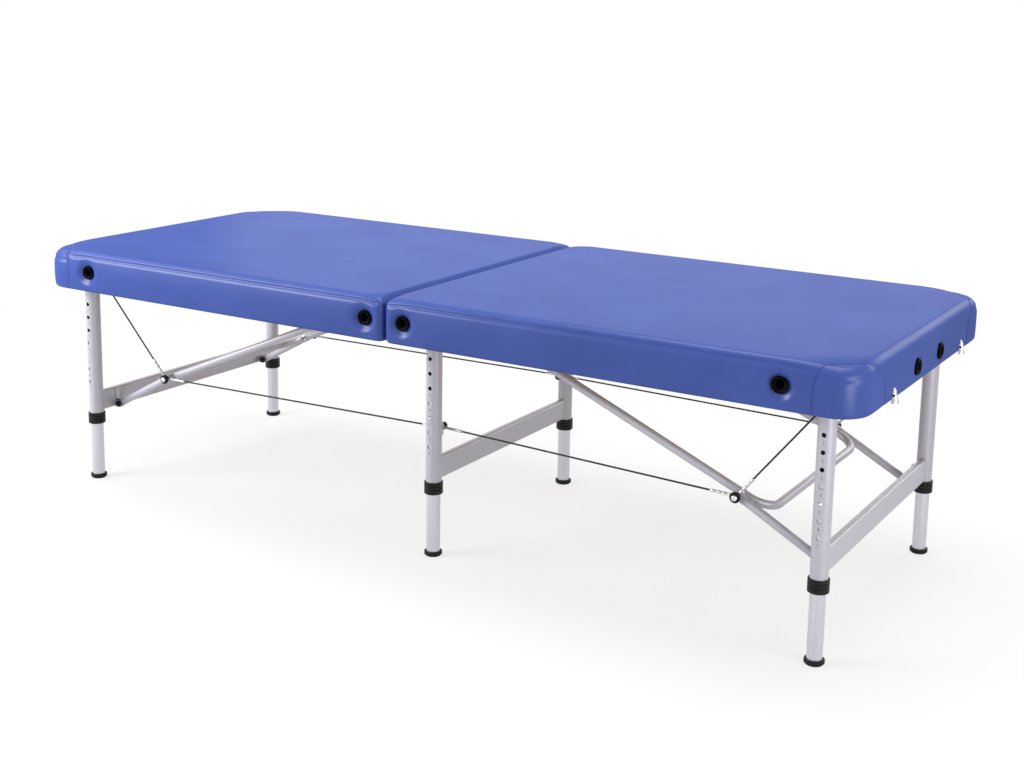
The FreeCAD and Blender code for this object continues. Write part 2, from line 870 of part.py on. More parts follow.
def tube_bend(x, y, quarter):
    """A quarter bend of brace tube about a point."""
    rings = []
    for radius in ("brace_tube / 2", "brace_tube / 2 - brace_wall"):
        ring = doc.addObject("Part::Torus", "bend")
        bind(ring, Radius1="brace_bend", Radius2=radius)
        ring.Angle3 = 90
        rings.append(put(ring, x, y, "0", Rotation(Vector(0, 0, 1), quarter)))
    return cut(*rings)


def bent_u(run):
    """A U of tube in its own XY plane: two arms along X joined by a crosspiece through two bends."""
    return fused(
        tube(run, "0", "-brace_y", "x"),
        tube(run, "0", "brace_y", "x"),
        tube_bend(run, "-brace_y + brace_bend", -90),
        tube_bend(run, "brace_y - brace_bend", 0),
        tube("2 * (brace_y - brace_bend)", f"{run} + brace_bend", "-brace_y + brace_bend", "y"),
    )


def braces():
    """The bent U tube, its knuckle bolts, the lower struts and their lugs, on the right and on the left."""
    run = f"{BRACE_ARM} + brace_overhang"
    low_y = "-brace_y - brace_tube"
    sleeve = rod("brace_tube", "brace_sleeve", "0", "-brace_y - brace_sleeve / 2", "0", "y")
    pin_hole = rod("leg_pin + 2 * running_clearance", "2 * brace_tube", "0", low_y, "0", "y")
    bolt_hole = rod("knuckle_bolt + 2 * press_clearance", "2 * brace_tube", BRACE_ARM, low_y, "0", "y")
    brace = cut(
        fused(bent_u(run), sleeve, far(sleeve)), pin_hole, far(pin_hole), bolt_hole, far(bolt_hole)
    )
    brace.Placement = along(BRACE_PIVOT, KNUCKLE, 0)
    node("right_brace", brace)
    node("left_brace", left(brace))
    bolt = both_sides("right_knuckle_bolts", knuckle_bolt())
    node("left_knuckle_bolts", left(bolt))
    near_strut = [strut(), *knuckle_cap()]
    struts = node("right_struts", group(*near_strut, *[far(thing) for thing in near_strut]))
    node("left_struts", left(struts))
    near_lug = strut_lug()
    lugs = node("right_strut_lugs", group(*near_lug, *[far(thing) for thing in near_lug]))
    node("left_strut_lugs", left(lugs))


def at_knuckle(diameter, length, y):
    """A round bar along the near knuckle's axis."""
    return rod(diameter, length, "knuckle_x", y, "knuckle_z", "y")


def knuckle_bolt():
    """The bolt, nut and washer that the brace arm carries, up to the strut's bush."""
    arm_in = "(-brace_y + brace_tube / 2)"
    arm_out = "(-brace_y - brace_tube / 2)"
    strut_in = "(-strut_y + strut_tube / 2 + open_pivot_gap)"
    nut = doc.addObject("Part::Prism", "nut")
    nut.Polygon = 6
    bind(nut, Circumradius="knuckle_nut / 2", Height="knuckle_nut_thickness")
    put(nut, "knuckle_x", arm_in, "knuckle_z", TURNS["y"])
    return fused(
        nut,
        at_knuckle("knuckle_bolt", f"{arm_in} - {strut_in} + knuckle_nut_thickness", strut_in),
        at_knuckle("knuckle_washer", f"{arm_out} - {strut_in}", strut_in),
    )


EYE_STEP = "(cable_eye_thickness + cable_eye_gap)"
CAP_LENGTH = f"(2 * {EYE_STEP} + cable_eye_gap)"


def knuckle_cap():
    """The bolt's outer end and head, which hold the cable eyes against the strut, and the bush inside it."""
    strut_out = "(-strut_y - strut_eye_thickness / 2)"
    bush = at_knuckle(
        "knuckle_washer", "(strut_tube - strut_eye_thickness) / 2", "-strut_y + strut_eye_thickness / 2"
    )
    head = doc.addObject("Part::Prism", "head")
    head.Polygon = 6
    bind(head, Circumradius="knuckle_head / 2", Height="knuckle_nut_thickness")
    put(
        head, "knuckle_x", f"{strut_out} - {CAP_LENGTH} - knuckle_nut_thickness", "knuckle_z", TURNS["y"]
    )
    shank = at_knuckle("knuckle_bolt", CAP_LENGTH, f"{strut_out} - {CAP_LENGTH}")
    return [fused(head, shank), bush]


def strut():
    """A near lower strut: a tube with both ends pressed flat into eyes, one round the lug's pin."""
    flat_low = "-strut_eye_thickness / 2"
    parts = [rod("strut_tube", f"{STRUT_SPAN} - 2 * strut_flat", "strut_flat", "0", "0", "x")]
    for start in ("0", f"{STRUT_SPAN} - strut_flat"):
        parts.append(
            box(start, flat_low, "-strut_tube / 2", "strut_flat", "strut_eye_thickness", "strut_tube")
        )
    for centre in ("0", STRUT_SPAN):
        parts.append(rod("strut_eye", "strut_eye_thickness", centre, flat_low, "0", "y"))
    hollow = rod(
        "strut_tube - 2 * strut_wall", f"{STRUT_SPAN} - 2 * strut_flat - 2 * strut_wall",
        "strut_flat + strut_wall", "0", "0", "x",
    )
    pin_hole = rod(
        "strut_pin + 2 * running_clearance", "2 * strut_eye_thickness", "0", "-strut_eye_thickness", "0", "y"
    )
    thing = cut(fused(*parts), hollow, pin_hole)
    thing.Placement = along(STRUT_PIVOT, KNUCKLE, number("strut_y"))
    return thing


def strut_lug():
    """A plate on the crossbar's inner face with two ears and the strut's pin."""
    face = "(end_leg_x - crossbar_thickness / 2)"
    ear_in = "(strut_eye_thickness / 2 + ear_clearance)"
    ear_out = f"({ear_in} + lug_ear)"
    plate_x = f"{face} - lug_plate"
    low = f"{STRUT_PIVOT_Z} - lug_ear_width / 2"
    parts = [
        box(plate_x, f"-strut_y - {ear_out}", low, "lug_plate", f"2 * {ear_out}", "lug_plate_height")
    ]
    for ear_y in (f"-strut_y - {ear_out}", f"-strut_y + {ear_in}"):
        parts.append(rod("lug_ear_width", "lug_ear", STRUT_PIVOT_X, ear_y, STRUT_PIVOT_Z, "y"))
        parts.append(
            box(STRUT_PIVOT_X, ear_y, low, f"{plate_x} - {STRUT_PIVOT_X}", "lug_ear", "lug_ear_width")
        )
    hole = rod(
        "strut_pin + 2 * press_clearance", f"4 * {ear_out}", STRUT_PIVOT_X, f"-strut_y - 2 * {ear_out}",
        STRUT_PIVOT_Z, "y",
    )
    pin = rod("strut_pin", f"2 * {ear_out}", STRUT_PIVOT_X, f"-strut_y - {ear_out}", STRUT_PIVOT_Z, "y")
    return [cut(fused(*parts), hole), pin]


# Stay cables

def cable_end(place, hole):
    """A crimped ferrule with an eye round a bolt, along its own X axis."""
    flat_low = "-cable_eye_thickness / 2"
    eye = rod("cable_eye", "cable_eye_thickness", "0", flat_low, "0", "y")
    neck = box("0", flat_low, "-ferrule / 2", "ferrule_start", "cable_eye_thickness", "ferrule")
    sleeve = rod("ferrule", "ferrule_length", "ferrule_start", "0", "0", "x")
    bore = rod(
        f"{hole} + 2 * cable_eye_play", "2 * cable_eye_thickness", "0", "-cable_eye_thickness", "0", "y"
    )
    thing = cut(fused(eye, neck, sleeve), bore)
    thing.Placement = place
    return thing


def straight_cable(start, end, start_hole, end_hole):
    """A taut cable between two bolts, with a ferrule at each end."""
    way = end - start
    level = math.hypot(way.x, way.y)
    turn = Rotation(Vector(0, 0, 1), math.degrees(math.atan2(way.y, way.x))).multiply(
        Rotation(Vector(0, -1, 0), math.degrees(math.atan2(way.z, level)))
    )
    back = Rotation(Vector(0, 0, 1), math.degrees(math.atan2(-way.y, -way.x))).multiply(
        Rotation(Vector(0, -1, 0), math.degrees(math.atan2(-way.z, level)))
    )
    taken = number("ferrule_start") + number("ferrule_length")
    wire = doc.addObject("Part::Cylinder", "wire")
    bind(wire, Radius="cable / 2", Height=f"{way.Length} - 2 * (ferrule_start + ferrule_length)")
    wire.Placement = Placement(start + way * (taken / way.Length), turn.multiply(TURNS["x"]))
    return [
        cable_end(Placement(start, turn), start_hole),
        wire,
        cable_end(Placement(end, back), end_hole),
    ]


def cables():
    """On each side: leg pin to knuckle, and knuckle to middle leg, right and left of the fold."""
    strut_out = number("strut_y + strut_eye_thickness / 2")
    eye = number("cable_eye_thickness / 2 + cable_eye_gap")
    step = number(EYE_STEP)
    inner_place = Vector(KNUCKLE.x, -(strut_out + eye), KNUCKLE.z)
    outer_place = Vector(KNUCKLE.x, -(strut_out + eye + step), KNUCKLE.z)
    pin_end = number(f"end_leg_y - {EAR_OUT} - pin_reach / 2")
    leg_place = Vector(number(LEG_PIVOT_X), -pin_end, number(LEG_PIVOT_Z))
    clip_face = number("mid_leg_y - outer_tube / 2 - clip_plate")
    right_clip = Vector(number("mid_leg_x"), -(clip_face - eye - step), number("clip_z"))
    left_clip = Vector(number("mid_leg_x"), -(clip_face - eye), number("clip_z"))
    left_knuckle = Vector(-inner_place.x, inner_place.y, inner_place.z)
    end_run = straight_cable(outer_place, leg_place, "knuckle_bolt", "leg_pin")
    fold_run = straight_cable(inner_place, right_clip, "knuckle_bolt", "clip_bolt")
    long_run = straight_cable(left_knuckle, left_clip, "knuckle_bolt", "clip_bolt")
    end_group = node("right_end_cables", group(*end_run, *[far(thing) for thing in end_run]))
    node("left_end_cables", left(end_group))
    node("right_fold_cables", group(*fold_run, *[far(thing) for thing in fold_run]))
    node("left_fold_cables", group(*long_run, *[far(thing) for thing in long_run]))


def cable_clips():
    """Saddles on the inner sides of the middle legs, each with a headed bolt for two cable eyes."""
    face = "(mid_leg_y - outer_tube / 2 - clip_plate)"
    saddle = cut(
        box(
            "mid_leg_x - clip_width / 2", f"-{face} - clip_plate - clip_wrap", "clip_z - clip_height / 2",
            "clip_width", "clip_plate + clip_wrap", "clip_height",
        ),
        rod("outer_tube", "2 * clip_height", "mid_leg_x", "-mid_leg_y", "clip_z - clip_height"),
    )
    bolt = rod("clip_bolt", CAP_LENGTH, "mid_leg_x", f"-{face}", "clip_z", "y")
    head = rod(
        "clip_head", "clip_head_thickness", "mid_leg_x", f"-{face} + {CAP_LENGTH}", "clip_z", "y"
    )
    both_sides("mid_cable_clips", fused(saddle, bolt, head))


panel()
catches()
hinges()
legs()
brackets()
braces()
cables()
cable_clips()
doc.recompute()

for thing in doc.Objects:
    if "Invalid" in thing.State or "Error" in thing.State:
        raise RuntimeError(f"{thing.Name} ({thing.Label}) failed: {thing.State}")
for thing in nodes:
    if thing.Shape.isNull() or not thing.Shape.isValid():
        raise RuntimeError(f"{thing.Label} has no valid shape")

os.makedirs("parts", exist_ok=True)
for thing in nodes:
    thing.Shape.exportStep(f"parts/{thing.Label}.step")
    volume = thing.Shape.Volume / 1000
    print(f"{thing.Label}: {len(thing.Shape.Solids)} solids, {volume:.1f} cm3")
print(len(nodes), "nodes")
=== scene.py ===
"""Looks of the folding therapy table: upholstery, cables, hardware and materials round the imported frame."""

import json
import math

import bmesh
import bpy
from mathutils import Matrix, Vector
from mathutils.bvhtree import BVHTree


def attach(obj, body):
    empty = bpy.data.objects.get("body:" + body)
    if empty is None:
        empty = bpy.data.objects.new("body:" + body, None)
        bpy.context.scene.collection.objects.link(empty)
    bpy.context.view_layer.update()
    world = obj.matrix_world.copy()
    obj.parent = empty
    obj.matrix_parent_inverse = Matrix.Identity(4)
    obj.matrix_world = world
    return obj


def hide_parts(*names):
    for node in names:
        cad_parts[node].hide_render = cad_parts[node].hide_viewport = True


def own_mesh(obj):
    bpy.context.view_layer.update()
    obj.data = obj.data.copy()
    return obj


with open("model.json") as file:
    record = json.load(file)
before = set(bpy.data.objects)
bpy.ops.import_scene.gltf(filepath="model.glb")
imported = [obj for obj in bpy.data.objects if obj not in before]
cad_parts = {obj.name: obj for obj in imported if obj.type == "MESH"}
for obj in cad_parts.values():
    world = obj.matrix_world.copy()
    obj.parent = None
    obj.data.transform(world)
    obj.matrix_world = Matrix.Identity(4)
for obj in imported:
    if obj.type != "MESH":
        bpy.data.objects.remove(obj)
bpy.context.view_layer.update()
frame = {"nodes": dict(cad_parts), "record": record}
nodes = frame["nodes"]
scene = bpy.context.scene

# Panel sizes, in metres, as in the CAD
HALF = 0.942
SIDE = 0.375
TOP = 0.546
RIM = 0.454
FOLD = 0.0015
END_CORNER = 0.060
FOLD_CORNER = 0.014
ROLL = 0.015
END_ROLL = 0.027
FOLD_ROLL = 0.024
FACE = 0.367
END_FACE = 0.934
ROLL_RINGS = 9
SIDE_RINGS = 12
HEM_ROLL = 0.007
HEM_RINGS = 3
HEM_INSETS = (0.016, 0.025)

# Sockets, seams and corners of the right-hand panel
SOCKET_X = (0.045, 0.803)
SOCKET_Z = 0.498
HEAD_Y = (-0.070, 0.070)
HEAD_Z = 0.485
SEAM_Z = TOP - 0.0135
SEAM_END = HALF - 0.088
SEAM_DEPTH = 0.0026
SEAM_WIDTH = 0.0036
SEAM_FADE = 0.006
SEAM_SLACK = 0.0006
SIDE_SWELL = 0.0018
END_DROP = 0.009
END_REACH = 0.14
FOLD_DROP = 0.005
FOLD_REACH = 0.07
END_ROLL_FROM = SEAM_END - 0.008
END_ROLL_FULL = SEAM_END + 0.030
FOLD_BAND = 0.01
FOLD_FREE = 0.15
END_HELD = 0.8

# Corner seams: distances from the end and the side, and heights
GUSSET_SIDE = ((0.081, RIM + 0.004), (0.082, 0.482), (0.081, 0.506), (0.076, 0.526))
GUSSET_TOP = ((0.066, 0.018), (0.050, 0.030), (0.030, 0.050), (0.014, 0.066))
GUSSET_END = ((0.292, 0.528), (0.268, 0.508), (0.255, 0.486), (0.253, RIM + 0.004))
CORNER_CREASE = ((0.070, 0.0), (0.045, 0.003), (0.0176, 0.0176), (0.003, 0.045), (0.0, 0.082))
CORNER_CREASE_Z = 0.521
RELAX_ROUNDS = 24
SEW_REACH = 0.012
SEW_DEPTH = 0.0016
SEW_WIDTH = 0.0045
WELT_RADIUS = 0.0009
WELT_SIDES = 6

# Skin, its grid and its dimples round the sockets
SKIN = 0.0013
GRID = 0.014
GRID_FINE = 0.008
GRID_REACH = 0.032
DIMPLE_BAND = 0.012
DIMPLE_FLAT = 0.012
SIDE_DIMPLE = 0.032
END_DIMPLE = 0.024
SIDE_SEAT = FACE + 0.0022
END_SEAT = END_FACE + 0.0052
PUNCH = [(0, -0.004), (0.0125, -0.004), (0.0125, 0.012), (0, 0.012)]

# How the cover is pumped up as cloth
PUMP_FRAMES = 20
PUMP_CAP = 0.0035
PUMP_SINK = 0.003
PUMP_SINK_DEPTH = 0.03
HEM_BAND = 0.004
SEAM_BAND = 0.005
TOP_BAND = 0.005
SEAM_HOLD = 0.95
TOP_HOLD = 0.35


# Materials

def rgb(r, g, b):
    """A linear colour from its screen values."""
    values = []
    for v in (r, g, b):
        v /= 255
        values.append(v / 12.92 if v <= 0.04045 else ((v + 0.055) / 1.055) ** 2.4)
    return (*values, 1.0)


class Nodes:
    """A small helper round a material's node tree."""

    def __init__(self, name, **sockets):
        self.material = bpy.data.materials.new(name)
        self.material.use_nodes = True
        self.tree = self.material.node_tree
        self.shader = self.tree.nodes["Principled BSDF"]
        for socket, value in sockets.items():
            self.shader.inputs[socket.replace("_", " ")].default_value = value
        self.coords = self.tree.nodes.new("ShaderNodeTexCoord").outputs["Object"]

    def link(self, out, into):
        """Joins an output to an input."""
        self.tree.links.new(out, into)

    def stretched(self, scale):
        """Object coordinates scaled along each axis."""
        mapping = self.tree.nodes.new("ShaderNodeMapping")
        mapping.inputs["Scale"].default_value = scale
        self.link(self.coords, mapping.inputs["Vector"])
        return mapping.outputs["Vector"]

    def noise(self, scale, detail=2.0, rough=0.5, vector=None):
        """A cloudy factor."""
        node = self.tree.nodes.new("ShaderNodeTexNoise")
        node.inputs["Scale"].default_value = scale
        node.inputs["Detail"].default_value = detail
        node.inputs["Roughness"].default_value = rough
        self.link(vector or self.coords, node.inputs["Vector"])
        return node.outputs["Fac"]

    def cells(self, scale):
        """The distance to the edges of small cells."""
        node = self.tree.nodes.new("ShaderNodeTexVoronoi")
        node.feature = "DISTANCE_TO_EDGE"
        node.inputs["Scale"].default_value = scale
        self.link(self.coords, node.inputs["Vector"])
        return node.outputs["Distance"]

    def ramp(self, factor, stops):
        """A colour ramp over a factor."""
        node = self.tree.nodes.new("ShaderNodeValToRGB")
        ramp = node.color_ramp
        while len(ramp.elements) < len(stops):
            ramp.elements.new(0.5)
        for element, (place, colour) in zip(ramp.elements, stops):
            element.position = place
            element.color = colour
        self.link(factor, node.inputs["Fac"])
        return node.outputs["Color"]

    def spread(self, factor, low, high):
        """A factor spread between two values."""
        node = self.tree.nodes.new("ShaderNodeMapRange")
        node.inputs["To Min"].default_value = low
        node.inputs["To Max"].default_value = high
        self.link(factor, node.inputs["Value"])
        return node.outputs["Result"]

    def bump(self, height, strength, distance, under=None):
        """Normals of a fine relief, over another relief where one is given."""
        node = self.tree.nodes.new("ShaderNodeBump")
        node.inputs["Strength"].default_value = strength
        node.inputs["Distance"].default_value = distance
        self.link(height, node.inputs["Height"])
        if under is not None:
            self.link(under, node.inputs["Normal"])
        return node.outputs["Normal"]

    def set(self, socket, out):
        """Feeds an input of the shader."""
        self.link(out, self.shader.inputs[socket])


def vinyl():
    """Blue upholstery vinyl with a fine pressed grain and faint unevenness."""
    m = Nodes("vinyl_blue", Specular_IOR_Level=0.0, Coat_Weight=0.16, Coat_Roughness=0.32, Coat_IOR=2.2)
    shade = m.noise(7.0, 3.0)
    m.set("Base Color", m.ramp(shade, ((0.3, rgb(54, 73, 144)), (0.7, rgb(60, 80, 152)))))
    grain = m.cells(780.0)
    m.set("Roughness", m.spread(m.noise(45.0, 4.0), 0.40, 0.50))
    soft = m.bump(m.noise(30.0, 3.0), 0.04, 0.002)
    m.set("Normal", m.bump(grain, 0.16, 0.00035, soft))
    return m.material


def seam_thread_and_shade():
    """Darker blue of the corner welts: partly their own thread colour, partly painted shade of the seam
    groove.
    """
    m = Nodes("seam_blue_and_shade", Roughness=0.6)
    # The darker blue is partly painted shade of the seam groove
    m.set("Base Color", m.ramp(m.noise(900.0), ((0.35, rgb(38, 50, 118)), (0.65, rgb(48, 63, 138)))))
    m.set("Normal", m.bump(m.noise(1500.0), 0.3, 0.0003))
    return m.material


def coated_tube():
    """Silver-grey powder coat with a fine orange-peel skin."""
    m = Nodes("coated_tube", Metallic=0.25, IOR=1.5)
    m.set("Base Color", m.ramp(m.noise(600.0, 2.0), ((0.3, rgb(172, 170, 180)), (0.7, rgb(183, 181, 190)))))
    m.set("Roughness", m.spread(m.noise(60.0, 3.0), 0.36, 0.46))
    m.set("Normal", m.bump(m.noise(1400.0, 2.0), 0.12, 0.0003))
    return m.material


def bright_tube():
    """Drawn bright aluminium, with fine lines along the tube."""
    m = Nodes("bright_tube", Metallic=0.75)
    lines = m.noise(1.0, 3.0, 0.6, m.stretched((900.0, 900.0, 4.0)))
    m.set("Base Color", m.ramp(lines, ((0.3, rgb(190, 188, 196)), (0.7, rgb(212, 211, 218)))))
    m.set("Roughness", m.spread(lines, 0.24, 0.38))
    m.set("Normal", m.bump(lines, 0.06, 0.0002))
    return m.material


def metal(name, low, high, rough, scale=400.0, strength=0.05):
    """Plated or plain steel with faint marks."""
    m = Nodes(name, Metallic=1.0)
    marks = m.noise(scale, 4.0, 0.6)
    m.set("Base Color", m.ramp(marks, ((0.3, low), (0.7, high))))
    m.set("Roughness", m.spread(marks, rough[0], rough[1]))
    m.set("Normal", m.bump(marks, strength, 0.0002))
    return m.material


def moulded(name, low, high, rough, scale=1100.0, strength=0.18, gloss=0.22):
    """Moulded black plastic or rubber with a fine textured skin."""
    m = Nodes(name, Specular_IOR_Level=gloss)
    m.set("Base Color", m.ramp(m.noise(90.0, 3.0), ((0.3, low), (0.7, high))))
    m.set("Roughness", m.spread(m.noise(scale, 2.0), rough[0], rough[1]))
    m.set("Normal", m.bump(m.noise(scale, 3.0), strength, 0.0003))
    return m.material


def wood(name, low, high, along):
    """Bare wood with grain lines along one axis."""
    m = Nodes(name)
    grain = m.noise(1.0, 6.0, 0.65, m.stretched(along))
    m.set("Base Color", m.ramp(grain, ((0.25, low), (0.75, high))))
    m.set("Roughness", m.spread(grain, 0.5, 0.68))
    m.set("Normal", m.bump(grain, 0.12, 0.0006))
    return m.material


VINYL = vinyl()
# Welt colour, partly painted shade of the seam groove
SEAM_AND_SHADE = seam_thread_and_shade()
TUBE = coated_tube()
BRIGHT = bright_tube()
STEEL = metal("zinc_steel", rgb(150, 150, 154), rgb(176, 176, 180), (0.28, 0.42))
CHROME = metal("chrome_plate", rgb(214, 214, 218), rgb(232, 232, 236), (0.06, 0.14), 200.0, 0.02)
FERRULE = metal("ferrule_alloy", rgb(186, 186, 188), rgb(206, 206, 208), (0.25, 0.4))
BLACK = moulded("black_plastic", rgb(9, 9, 10), rgb(15, 15, 16), (0.38, 0.52))
SOCKET = moulded("socket_black", rgb(5, 5, 5), rgb(9, 9, 8), (0.5, 0.65), gloss=0.03)
NICKEL = metal("catch_nickel", rgb(188, 188, 190), rgb(214, 214, 216), (0.12, 0.24), 260.0, 0.03)
RUBBER = moulded("foot_rubber", rgb(11, 11, 12), rgb(18, 18, 19), (0.55, 0.72), 700.0, 0.25)
SHEATH = moulded("cable_sheath", rgb(24, 23, 20), rgb(36, 34, 30), (0.38, 0.5), 500.0, 0.1)
INK = moulded("number_ink", rgb(70, 70, 76), rgb(88, 88, 94), (0.5, 0.6))
PLY = wood("birch_ply", rgb(178, 148, 108), rgb(205, 176, 134), (9.0, 160.0, 160.0))
RAIL = wood("rail_timber", rgb(176, 140, 96), rgb(206, 172, 126), (9.0, 190.0, 190.0))

SLOT_LOOKS = {
    "vinyl": VINYL,
    "foam": VINYL,
    "plywood": PLY,
    "rail_wood": RAIL,
    "black_plastic": BLACK,
    "foot_rubber": RUBBER,
    "frame_tube": TUBE,
    "bright_tube": BRIGHT,
    "steel": STEEL,
    "chrome": CHROME,
    "cable": SHEATH,
}
NODE_LOOKS = {"right_sockets": SOCKET, "left_sockets": SOCKET, "catches": NICKEL}
for part in frame["record"]["subparts"]:
    thing = nodes[part["node"]]
    thing.data.materials.clear()
    thing.data.materials.append(NODE_LOOKS.get(part["node"], SLOT_LOOKS[part["material_slot"]]))


# Mesh helpers

def add(name, mesh, material, body):
    """Puts a finished mesh in the scene as a piece that rides on a body."""
    thing = bpy.data.objects.new(name, mesh)
    scene.collection.objects.link(thing)
    mesh.materials.clear()
    mesh.materials.append(material)
    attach(thing, body)
    return thing


def mesh_from(bm, name, smooth=True):
    """A mesh from a bmesh, with its normals outwards."""
    bmesh.ops.recalc_face_normals(bm, faces=bm.faces)
    mesh = bpy.data.meshes.new(name)
    bm.to_mesh(mesh)
    bm.free()
    for face in mesh.polygons:
        face.use_smooth = smooth
    return mesh


def frame_along(start, end):
    """A matrix whose Z axis runs from one point to another."""
    way = (end - start).normalized()
    return Matrix.Translation(start) @ way.to_track_quat("Z", "Y").to_matrix().to_4x4()


def lathe(bm, profile, matrix, sides=24):
    """Spins (radius, height) pairs about Z, closing the ends, and adds the result to a bmesh."""
    rings = []
    for radius, height in profile:
        if radius < 1e-7:
            rings.append([bm.verts.new(matrix @ Vector((0, 0, height)))])
            continue
        ring = []
        for k in range(sides):
            turn = 2 * math.pi * k / sides
            place = Vector((radius * math.cos(turn), radius * math.sin(turn), height))
            ring.append(bm.verts.new(matrix @ place))
        rings.append(ring)
    for low, high in zip(rings, rings[1:]):
        for k in range(sides):
            after = (k + 1) % sides
            if len(low) == 1:
                bm.faces.new((low[0], high[after], high[k]))
            elif len(high) == 1:
                bm.faces.new((low[k], low[after], high[0]))
            else:
                bm.faces.new((low[k], low[after], high[after], high[k]))


def sharpen(thing, degrees=35):
    """Shades a piece smooth except at its sharp edges."""
    bpy.context.view_layer.objects.active = thing
    thing.select_set(True)
    bpy.ops.object.shade_smooth_by_angle(angle=math.radians(degrees))
    thing.select_set(False)


# Upholstery

def steps(low, high, spacing, fine, reach, fine_spacing):
    """Grid lines from low to high, closer together near some places."""
    lines = [low]
    while lines[-1] < high - 1e-6:
        near = any(abs(lines[-1] - place) < reach for place in fine)
        lines.append(lines[-1] + (fine_spacing if near else spacing))
    scale = (high - low) / (lines[-1] - low)
    return [low + (line - low) * scale for line in lines]


def plan(x, y, inset):
    """Moves a point of a square outline, set in from the panel's, to the outline with round corners."""
    end = x > HALF / 2
    gap_x = HALF - inset - x if end else x - FOLD - inset
    gap_y = SIDE - inset - abs(y)
    radius = max((END_CORNER if end else FOLD_CORNER) - inset, 0.0)
    away = gap_x + gap_y
    if away >= radius or radius == 0.0:
        return x, y
    turn = math.radians(45) * (1 - away / radius)
    if gap_x < gap_y:
        along, across = math.cos(turn), math.sin(turn)
    else:
        along, across = math.sin(turn), math.cos(turn)
    sign_x = 1 if end else -1
    sign_y = 1 if y > 0 else -1
    centre_x = HALF - inset - radius if end else FOLD + inset + radius
    centre_y = SIDE - inset - radius
    return centre_x + sign_x * radius * along, sign_y * (centre_y + radius * across)


def profile():
    """The panel's edge from the flat top to the hem, as (inset, height) pairs."""
    pairs = []
    for k in range(1, ROLL_RINGS + 1):
        turn = math.radians(90 * k / ROLL_RINGS)
        pairs.append((ROLL * (1 - math.sin(turn)), TOP - ROLL * (1 - math.cos(turn))))
    height = TOP - ROLL
    low = RIM + HEM_ROLL
    for k in range(1, SIDE_RINGS + 1):
        pairs.append((0.0, height + (low - height) * k / SIDE_RINGS))
    for k in range(1, HEM_RINGS + 1):
        turn = math.radians(90 * k / HEM_RINGS)
        pairs.append((HEM_ROLL * (1 - math.cos(turn)), low - HEM_ROLL * math.sin(turn)))
    pairs += [(inset, RIM) for inset in HEM_INSETS]
    return pairs


def pad_mesh():
    """The right-hand panel's cover as one open skin: a grid on top and rings down the sides."""
    bm = bmesh.new()
    xs = steps(FOLD + ROLL, HALF - ROLL, GRID, SOCKET_X, GRID_REACH, GRID_FINE)
    ys = steps(-SIDE + ROLL, SIDE - ROLL, GRID, HEAD_Y, GRID_REACH, GRID_FINE)
    grid = {}
    for i, x in enumerate(xs):
        for j, y in enumerate(ys):
            inset = min(x - FOLD, HALF - x, SIDE - abs(y))
            px, py = plan(x, y, inset)
            grid[i, j] = bm.verts.new((px, py, TOP))
    for i in range(len(xs) - 1):
        for j in range(len(ys) - 1):
            bm.faces.new((grid[i, j], grid[i + 1, j], grid[i + 1, j + 1], grid[i, j + 1]))
    last_x, last_y = len(xs) - 1, len(ys) - 1
    border = [(i, 0) for i in range(last_x)]
    border += [(last_x, j) for j in range(last_y)]
    border += [(i, last_y) for i in range(last_x, 0, -1)]
    border += [(0, j) for j in range(last_y, 0, -1)]
    ring = [grid[key] for key in border]
    middle = (FOLD + HALF) / 2
    for inset, height in profile():
        stretch_x = (HALF - inset - middle) / (HALF - ROLL - middle)
        stretch_y = (SIDE - inset) / (SIDE - ROLL)
        lower = []
        for i, j in border:
            px, py = plan(middle + (xs[i] - middle) * stretch_x, ys[j] * stretch_y, inset)
            lower.append(bm.verts.new((px, py, height)))
        for k in range(len(ring)):
            after = (k + 1) % len(ring)
            bm.faces.new((ring[after], ring[k], lower[k], lower[after]))
        ring = lower
    return mesh_from(bm, "pad")


def evened(mesh, ways, rounds=12):
    """Moves of a mesh's points, evened out between neighbours."""
    near = [[] for _ in ways]
    for edge in mesh.edges:
        a, b = edge.vertices
        near[a].append(b)
        near[b].append(a)
    for _ in range(rounds):
        means = [sum((ways[k] for k in others), Vector()) / len(others) for others in near]
        ways = [way.lerp(mean, 0.5) for way, mean in zip(ways, means)]
    return ways


